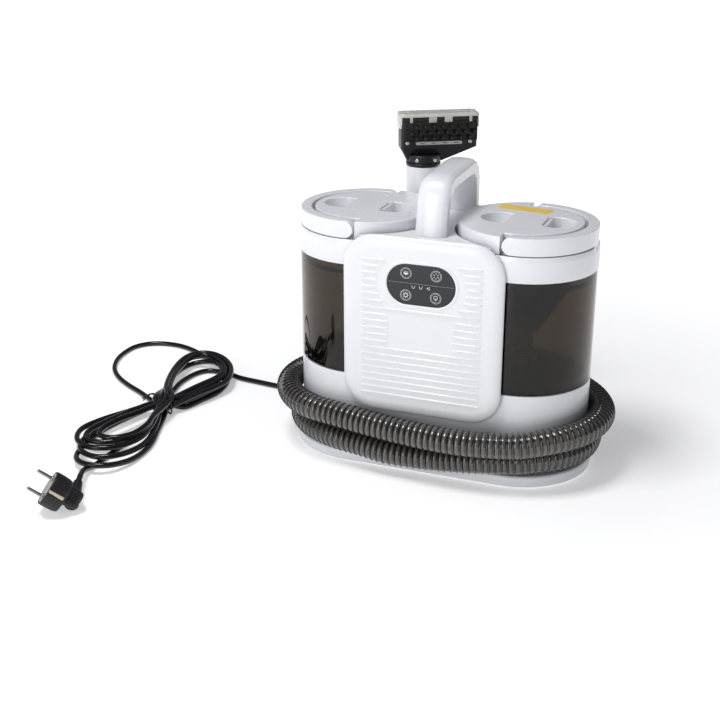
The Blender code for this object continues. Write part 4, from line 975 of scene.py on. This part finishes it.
def build_hose():
    # One rib pitch as (radius, darkening): four light land samples, then a groove, the raised rib and a groove, all
    # darkened; the darkening of the grooves is painted shade.
    steps = ((0.0127, 0.0), (0.0128, 0.0), (0.0128, 0.0), (0.0127, 0.0), (0.0123, 0.7), (0.0136, 1.0),
             (0.01375, 1.0), (0.0123, 0.8))
    points = spaced(hose_route(), HOSE_PITCH / len(steps))
    radii = []
    dark_rib_and_groove_shade = []
    smooth_end = 24
    for i in range(len(points)):
        radius, value = steps[i % len(steps)]
        # The smooth ends take a plain radius and a fixed middle darkening.
        if i < smooth_end or i > len(points) - smooth_end:
            radius, value = 0.0136, 0.35
        radii.append(radius)
        dark_rib_and_groove_shade.append(value)
    sides = 36
    part = sweep(points, radii, sides)
    values = [value for value in dark_rib_and_groove_shade for _ in range(sides)]
    hose = put("ribbed_hose", part, HOSE, None, ["hose"], sharp=60.0, dark_rib_and_groove_shade=values)
    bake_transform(hose)


# ------------------------------------------------------------------ power cord
TIE = Vector((-0.32, -0.037, 0.0))
FLOOR = CORD_R + 0.0002


def at_tie(way, offset, z):
    """Point where a strand passes through the tie; way is 1 for the lower strands and -1 for the crossing ones."""
    across = Vector((0.72, -0.69, 0.0)) if way > 0 else Vector((0.98, 0.18, 0.0))
    spot = TIE + offset * across
    return (spot.x, spot.y, z)


def cord_route():
    """Lead, five turns of the crossed hank, the free loop and the tail, as points from the machine to the plug."""
    out = Vector((math.cos(RELIEF_TURN), math.sin(RELIEF_TURN), 0.0))
    start = Vector((-TANK_X, 0.0, RELIEF_Z)) + (PLINTH_R + 0.025 + 0.0003) * out
    low = FLOOR
    route = [start, start + 0.013 * out, (-0.193, 0.074, 0.0045), (-0.209, 0.0735, low), (-0.228, 0.0745, low),
             (-0.254, 0.0775, low), (-0.28, 0.081, low), (-0.298, 0.087, low), (-0.314, 0.09, low),
             (-0.33, 0.087, low), (-0.339, 0.072, low), (-0.342, 0.045, low), (-0.338, 0.018, low),
             (-0.329, -0.01, low), at_tie(-1, 0.002, low)]
    route += [(-0.309, -0.06, low), (-0.299, -0.09, low), (-0.29, -0.118, low), (-0.287, -0.145, low),
              (-0.289, -0.17, 0.006), (-0.299, -0.19, 0.009), (-0.316, -0.198, 0.01), (-0.332, -0.194, 0.0098),
              (-0.344, -0.18, 0.0075), (-0.352, -0.158, 0.005), (-0.357, -0.125, low), (-0.355, -0.095, low),
              (-0.342, -0.062, 0.006), at_tie(1, -0.0064, 0.0088)]
    route += [(-0.303, -0.02, low), (-0.294, 0.005, low), (-0.287, 0.03, low), (-0.286, 0.052, 0.006),
              (-0.292, 0.072, 0.0095), (-0.306, 0.09, 0.0098), (-0.324, 0.101, 0.0098), (-0.342, 0.103, 0.008),
              (-0.357, 0.094, 0.005), (-0.362, 0.073, low), (-0.357, 0.043, low), (-0.346, 0.01, 0.007),
              at_tie(-1, -0.0096, 0.019)]
    route += [(-0.31, -0.066, 0.012), (-0.3, -0.096, 0.006), (-0.294, -0.126, 0.006), (-0.295, -0.152, 0.0085),
              (-0.304, -0.17, 0.0098), (-0.319, -0.179, 0.01), (-0.336, -0.176, 0.0098), (-0.349, -0.165, 0.009),
              (-0.358, -0.145, 0.008), (-0.361, -0.116, 0.0065), (-0.354, -0.084, 0.0075), (-0.342, -0.052, 0.0085),
              at_tie(1, 0.0, 0.0088)]
    route += [(-0.302, -0.014, 0.009), (-0.293, 0.014, 0.009), (-0.287, 0.04, 0.009), (-0.29, 0.066, 0.0095),
              (-0.301, 0.09, 0.0095), (-0.316, 0.108, 0.009), (-0.335, 0.117, 0.009), (-0.352, 0.116, 0.009),
              (-0.363, 0.101, 0.009), (-0.363, 0.073, 0.009), (-0.354, 0.038, 0.01), (-0.34, 0.004, 0.013),
              at_tie(-1, -0.0032, 0.0195)]
    route += [(-0.309, -0.072, 0.015), (-0.302, -0.1, 0.012), (-0.3, -0.124, 0.011), (-0.308, -0.147, 0.011),
              (-0.323, -0.161, 0.0115), (-0.341, -0.164, 0.0115), (-0.358, -0.155, 0.0115), (-0.368, -0.139, 0.0115),
              (-0.37, -0.121, 0.0115), (-0.362, -0.097, 0.0115), (-0.35, -0.07, 0.0105), (-0.339, -0.047, 0.009),
              at_tie(1, 0.0064, 0.0088)]
    route += [(-0.303, -0.027, 0.013), (-0.293, -0.004, 0.015), (-0.284, 0.02, 0.015), (-0.28, 0.042, 0.015),
              (-0.286, 0.066, 0.015), (-0.298, 0.088, 0.015), (-0.316, 0.106, 0.015), (-0.336, 0.115, 0.015),
              (-0.353, 0.111, 0.015), (-0.361, 0.096, 0.015), (-0.36, 0.07, 0.015), (-0.35, 0.033, 0.016),
              (-0.335, -0.004, 0.018), at_tie(-1, 0.0032, 0.0195)]
    route += [(-0.309, -0.078, 0.017), (-0.303, -0.102, 0.015), (-0.304, -0.124, 0.014), (-0.314, -0.141, 0.0135),
              (-0.33, -0.152, 0.013), (-0.345, -0.153, 0.013), (-0.355, -0.144, 0.013), (-0.357, -0.128, 0.014),
              (-0.35, -0.104, 0.015), (-0.341, -0.075, 0.015), (-0.332, -0.05, 0.0145), at_tie(1, -0.0032, 0.0142)]
    route += [(-0.306, -0.011, 0.013), (-0.299, 0.016, 0.013), (-0.293, 0.042, 0.013), (-0.293, 0.063, 0.013),
              (-0.303, 0.085, 0.013), (-0.32, 0.102, 0.013), (-0.338, 0.11, 0.014), (-0.351, 0.105, 0.015),
              (-0.355, 0.09, 0.015), (-0.352, 0.06, 0.015), (-0.342, 0.024, 0.017), (-0.328, -0.008, 0.019),
              at_tie(-1, 0.0096, 0.019)]
    route += [(-0.306, -0.082, 0.019), (-0.302, -0.105, 0.018), (-0.305, -0.127, 0.017), (-0.315, -0.142, 0.017),
              (-0.328, -0.147, 0.017), (-0.339, -0.142, 0.017), (-0.342, -0.127, 0.018), (-0.336, -0.104, 0.019),
              (-0.329, -0.078, 0.017), (-0.325, -0.055, 0.015), at_tie(1, 0.0032, 0.0142)]
    route += [(-0.312, -0.008, 0.014), (-0.304, 0.018, 0.015), (-0.297, 0.042, 0.015), (-0.297, 0.062, 0.014),
              (-0.307, 0.082, 0.013), (-0.322, 0.098, 0.01), (-0.34, 0.115, 0.0055), (-0.356, 0.129, low),
              (-0.375, 0.141, low), (-0.394, 0.149, low), (-0.411, 0.152, low), (-0.429, 0.15, low),
              (-0.445, 0.142, low), (-0.455, 0.127, low), (-0.457, 0.108, low), (-0.455, 0.088, low),
              (-0.448, 0.067, low), (-0.437, 0.048, low), (-0.42, 0.03, low), (-0.398, 0.014, low),
              (-0.374, 0.0, low), (-0.354, -0.013, low), (-0.336, -0.026, low), (-0.326, -0.045, low),
              (-0.319, -0.072, low), (-0.316, -0.105, low), (-0.3165, -0.137, low), (-0.3175, -0.165, low),
              (-0.318, -0.183, 0.0034), (-0.319, -0.193, 0.0046), (-0.3172, -0.2055, 0.008),
              (-0.313, -0.217, 0.0112)]
    return [Vector(p) for p in route]


def build_plug():
    """Side-entry mains plug: returns its pieces and the point and direction where the cord leaves it."""
    face = Vector((-0.3083, -0.282, 0.0266))
    axis = Vector((-0.723, -0.357, 0.592)).normalized()
    pins = Vector((-0.264, -0.649, -0.714))
    pins = (pins - pins.dot(axis) * axis).normalized()
    side = axis.cross(pins).normalized()
    if side.y > 0.0:
        side = -side
    exit_way = Vector((-0.4, 0.913, 0.06)).normalized()
    boot_start = face - 0.0275 * axis
    boot_end = boot_start + 0.0375 * exit_way

    def at(a, b, depth):
        return face + a * pins + b * side - depth * axis

    def section(radius, depth, sides=72):
        ring = []
        for i in range(sides):
            t = 2 * math.pi * i / sides
            a = math.cos(t)
            b = math.sin(t)
            flat = 0.955
            ring.append(at(radius * max(-flat, min(flat, a)), radius * max(-flat, min(flat, b)), depth))
        return ring

    shell = skin([section(0.015, 0.0016), section(0.0166, 0.0012), section(0.0171, 0.0002), section(0.0175, 0.0),
                  section(0.0181, 0.0003), section(0.0185, 0.0012), section(0.0186, 0.006), section(0.0181, 0.014),
                  section(0.0173, 0.0172), section(0.0163, 0.0186), section(0.01, 0.019)])

    def grip_ring(depth, low, high, half, corner):
        return [at(p[0], p[1], depth) for p in box_ring(low, high, -half, half, corner, 0.0, 6)]

    grip = skin([grip_ring(0.018, -0.0132, 0.0078, 0.0124, 0.004), grip_ring(0.0205, -0.013, 0.0075, 0.012, 0.0035),
                 grip_ring(0.027, -0.0126, 0.0068, 0.0112, 0.003), grip_ring(0.031, -0.0118, 0.006, 0.0102, 0.0028),
                 grip_ring(0.0328, -0.0108, 0.005, 0.0092, 0.0026), grip_ring(0.0336, -0.009, 0.0034, 0.0074, 0.0022),
                 grip_ring(0.0338, -0.006, 0.001, 0.005, 0.0018)])
    ribs = []
    for k in range(3):
        depth = 0.0222 + 0.0032 * k
        spread_half = 0.0117 - 0.00035 * k
        ribs.append(skin([grip_ring(depth - 0.0008, -0.009, 0.0035, spread_half, 0.002),
                          grip_ring(depth - 0.0004, -0.009, 0.0035, spread_half + 0.0008, 0.002),
                          grip_ring(depth + 0.0006, -0.009, 0.0035, spread_half + 0.0008, 0.002),
                          grip_ring(depth + 0.001, -0.009, 0.0035, spread_half, 0.002)]))
    profile = [(0.003, -0.006), (0.0072, -0.005), (0.007, 0.006), (0.0066, 0.012)]
    for k in range(5):
        z = 0.015 + 0.0044 * k
        wide = 0.0062 - 0.0004 * k
        profile += [(wide, z), (wide, z + 0.0022), (wide - 0.0007, z + 0.0027), (wide - 0.0007, z + 0.0038)]
    profile += [(0.0036, 0.0374), (0.0032, 0.0376)]
    boot = turned(profile, boot_start, exit_way, 36)
    body = put("plug_body", merged(shell, grip, boot, *ribs), PLUG, "main", ["plug"], sharp=34.0)
    # Grey disc over the plug's face, lighter than the black body: a painted highlight standing in for the light line
    # along the face's edge.
    highlight_disc = skin([section(0.0164, 0.002), section(0.0164, 0.0006), section(0.016, 0.0001), section(0.006, 0.0001)])
    front = put("plug_painted_highlight_ring", highlight_disc, HIGHLIGHT_GREY, "main", sharp=34.0)
    parts = []
    for way in (-1.0, 1.0):
        root = face + way * 0.0095 * pins
        parts.append(turned(((0.003, -0.0004), (0.003, 0.0008), (0.0026, 0.0013), (0.0018, 0.0014), (0.0017, 0.015),
                             (0.0014, 0.0164), (0.0009, 0.0171), (0.0004, 0.0172)), root, axis, 28))
    pair = put("plug_pins", merged(*parts), PIN, "main", sharp=40.0)
    strips = []
    for way in (-1.0, 1.0):
        turn = way * math.pi * 0.5 - 0.14
        rings = []
        for depth, grow in ((0.0006, -0.0004), (0.0012, 0.0003), (0.0158, 0.0003), (0.0166, -0.0004)):
            ring = []
            for du, dr in ((-0.0016, -0.0006), (0.0016, -0.0006), (0.0016, 0.0), (0.0011, grow), (-0.0011, grow),
                           (-0.0016, 0.0)):
                r = 0.0178 + dr
                ring.append(at(r * math.cos(turn) - du * math.sin(turn), r * math.sin(turn) + du * math.cos(turn),
                               depth))
            rings.append(ring)
        strips.append(skin(rings))
    earth = put("plug_earth", merged(*strips), BEIGE, "main", sharp=40.0)
    return [body, front, pair, earth], boot_end, exit_way


def build_cord():
    plug_pieces, boot_end, exit_way = build_plug()
    route = cord_route() + [boot_end + 0.01 * exit_way, boot_end + 0.004 * exit_way, boot_end - 0.002 * exit_way]
    points = spaced(route, 0.003)
    for p in points:
        p.z = max(p.z, CORD_R + 0.0001)
    cord = put("power_cord", sweep(points, [CORD_R] * len(points), 16), CORD, "main",
               ["cord_lead", "cord_loop", "cord_hank", "cord_tail"], sharp=60.0)

    across = Vector((0.62, -0.78, 0.0)).normalized()
    along = Vector((0.78, 0.62, 0.0)).normalized()
    ties = []
    for slide, lean in ((-0.006, 0.001), (-0.0046, -0.0006), (0.005, 0.0016)):
        loop = []
        for k in range(60):
            a = 2 * math.pi * k / 60
            wide = math.copysign(abs(math.cos(a)) ** 0.75, math.cos(a))
            tall = math.copysign(abs(math.sin(a)) ** 0.75, math.sin(a))
            loop.append(TIE + 0.0136 * wide * across + (0.0118 + 0.0112 * tall) * UP + (slide + lean * wide) * along)
        rings = []
        for k, p in enumerate(loop):
            way = (loop[(k + 1) % 60] - loop[k - 1]).normalized()
            outwards = p - TIE - 0.0118 * UP
            outwards = (outwards - outwards.dot(way) * way).normalized()
            sideways = way.cross(outwards)
            rings.append([p + 0.0011 * math.cos(t) * sideways + 0.0006 * math.sin(t) * outwards
                          for t in [2 * math.pi * j / 10 for j in range(10)]])
        ties.append(skin(rings, loop=True))
    knot = TIE - 0.012 * across - 0.0055 * along + 0.019 * UP
    for bend in (-1.0, 1.0):
        tail = [knot, knot - 0.005 * along + bend * 0.001 * across + 0.0016 * UP,
                knot - 0.009 * along - bend * 0.001 * across + 0.001 * UP,
                knot - 0.013 * along + bend * 0.0014 * across - 0.001 * UP,
                knot - 0.0165 * along + bend * 0.0034 * across - 0.004 * UP]
        line = spaced(tail, 0.0008)
        ties.append(sweep(line, [0.0008] * len(line), 8))
    tie = put("cord_tie", merged(*ties), BLACK, "main", sharp=60.0)

    out = Vector((math.cos(RELIEF_TURN), math.sin(RELIEF_TURN), 0.0))
    root = Vector((-TANK_X, 0.0, RELIEF_Z)) + PLINTH_R * out
    profile = [(0.0032, 0.004), (0.0041, 0.0043)]
    for k in range(5):
        z = 0.006 + 0.0034 * k
        wide = 0.0041 - 0.00012 * k
        profile += [(wide, z), (wide, z + 0.0018), (wide - 0.0005, z + 0.0021), (wide - 0.0005, z + 0.0031)]
    profile += [(0.0034, 0.025), (0.0031, 0.0252)]
    relief = put("strain_relief", turned(profile, root, out), RUBBER, "main", ["cord_relief"])


build_stage()
build_cord()
build_hose()
build_base()
build_panel()
build_handle()
for side_name, centre_x in (("left", -TANK_X), ("right", TANK_X)):
    build_tank(side_name, centre_x)
    build_lid(side_name, centre_x)
build_label()
build_wand()
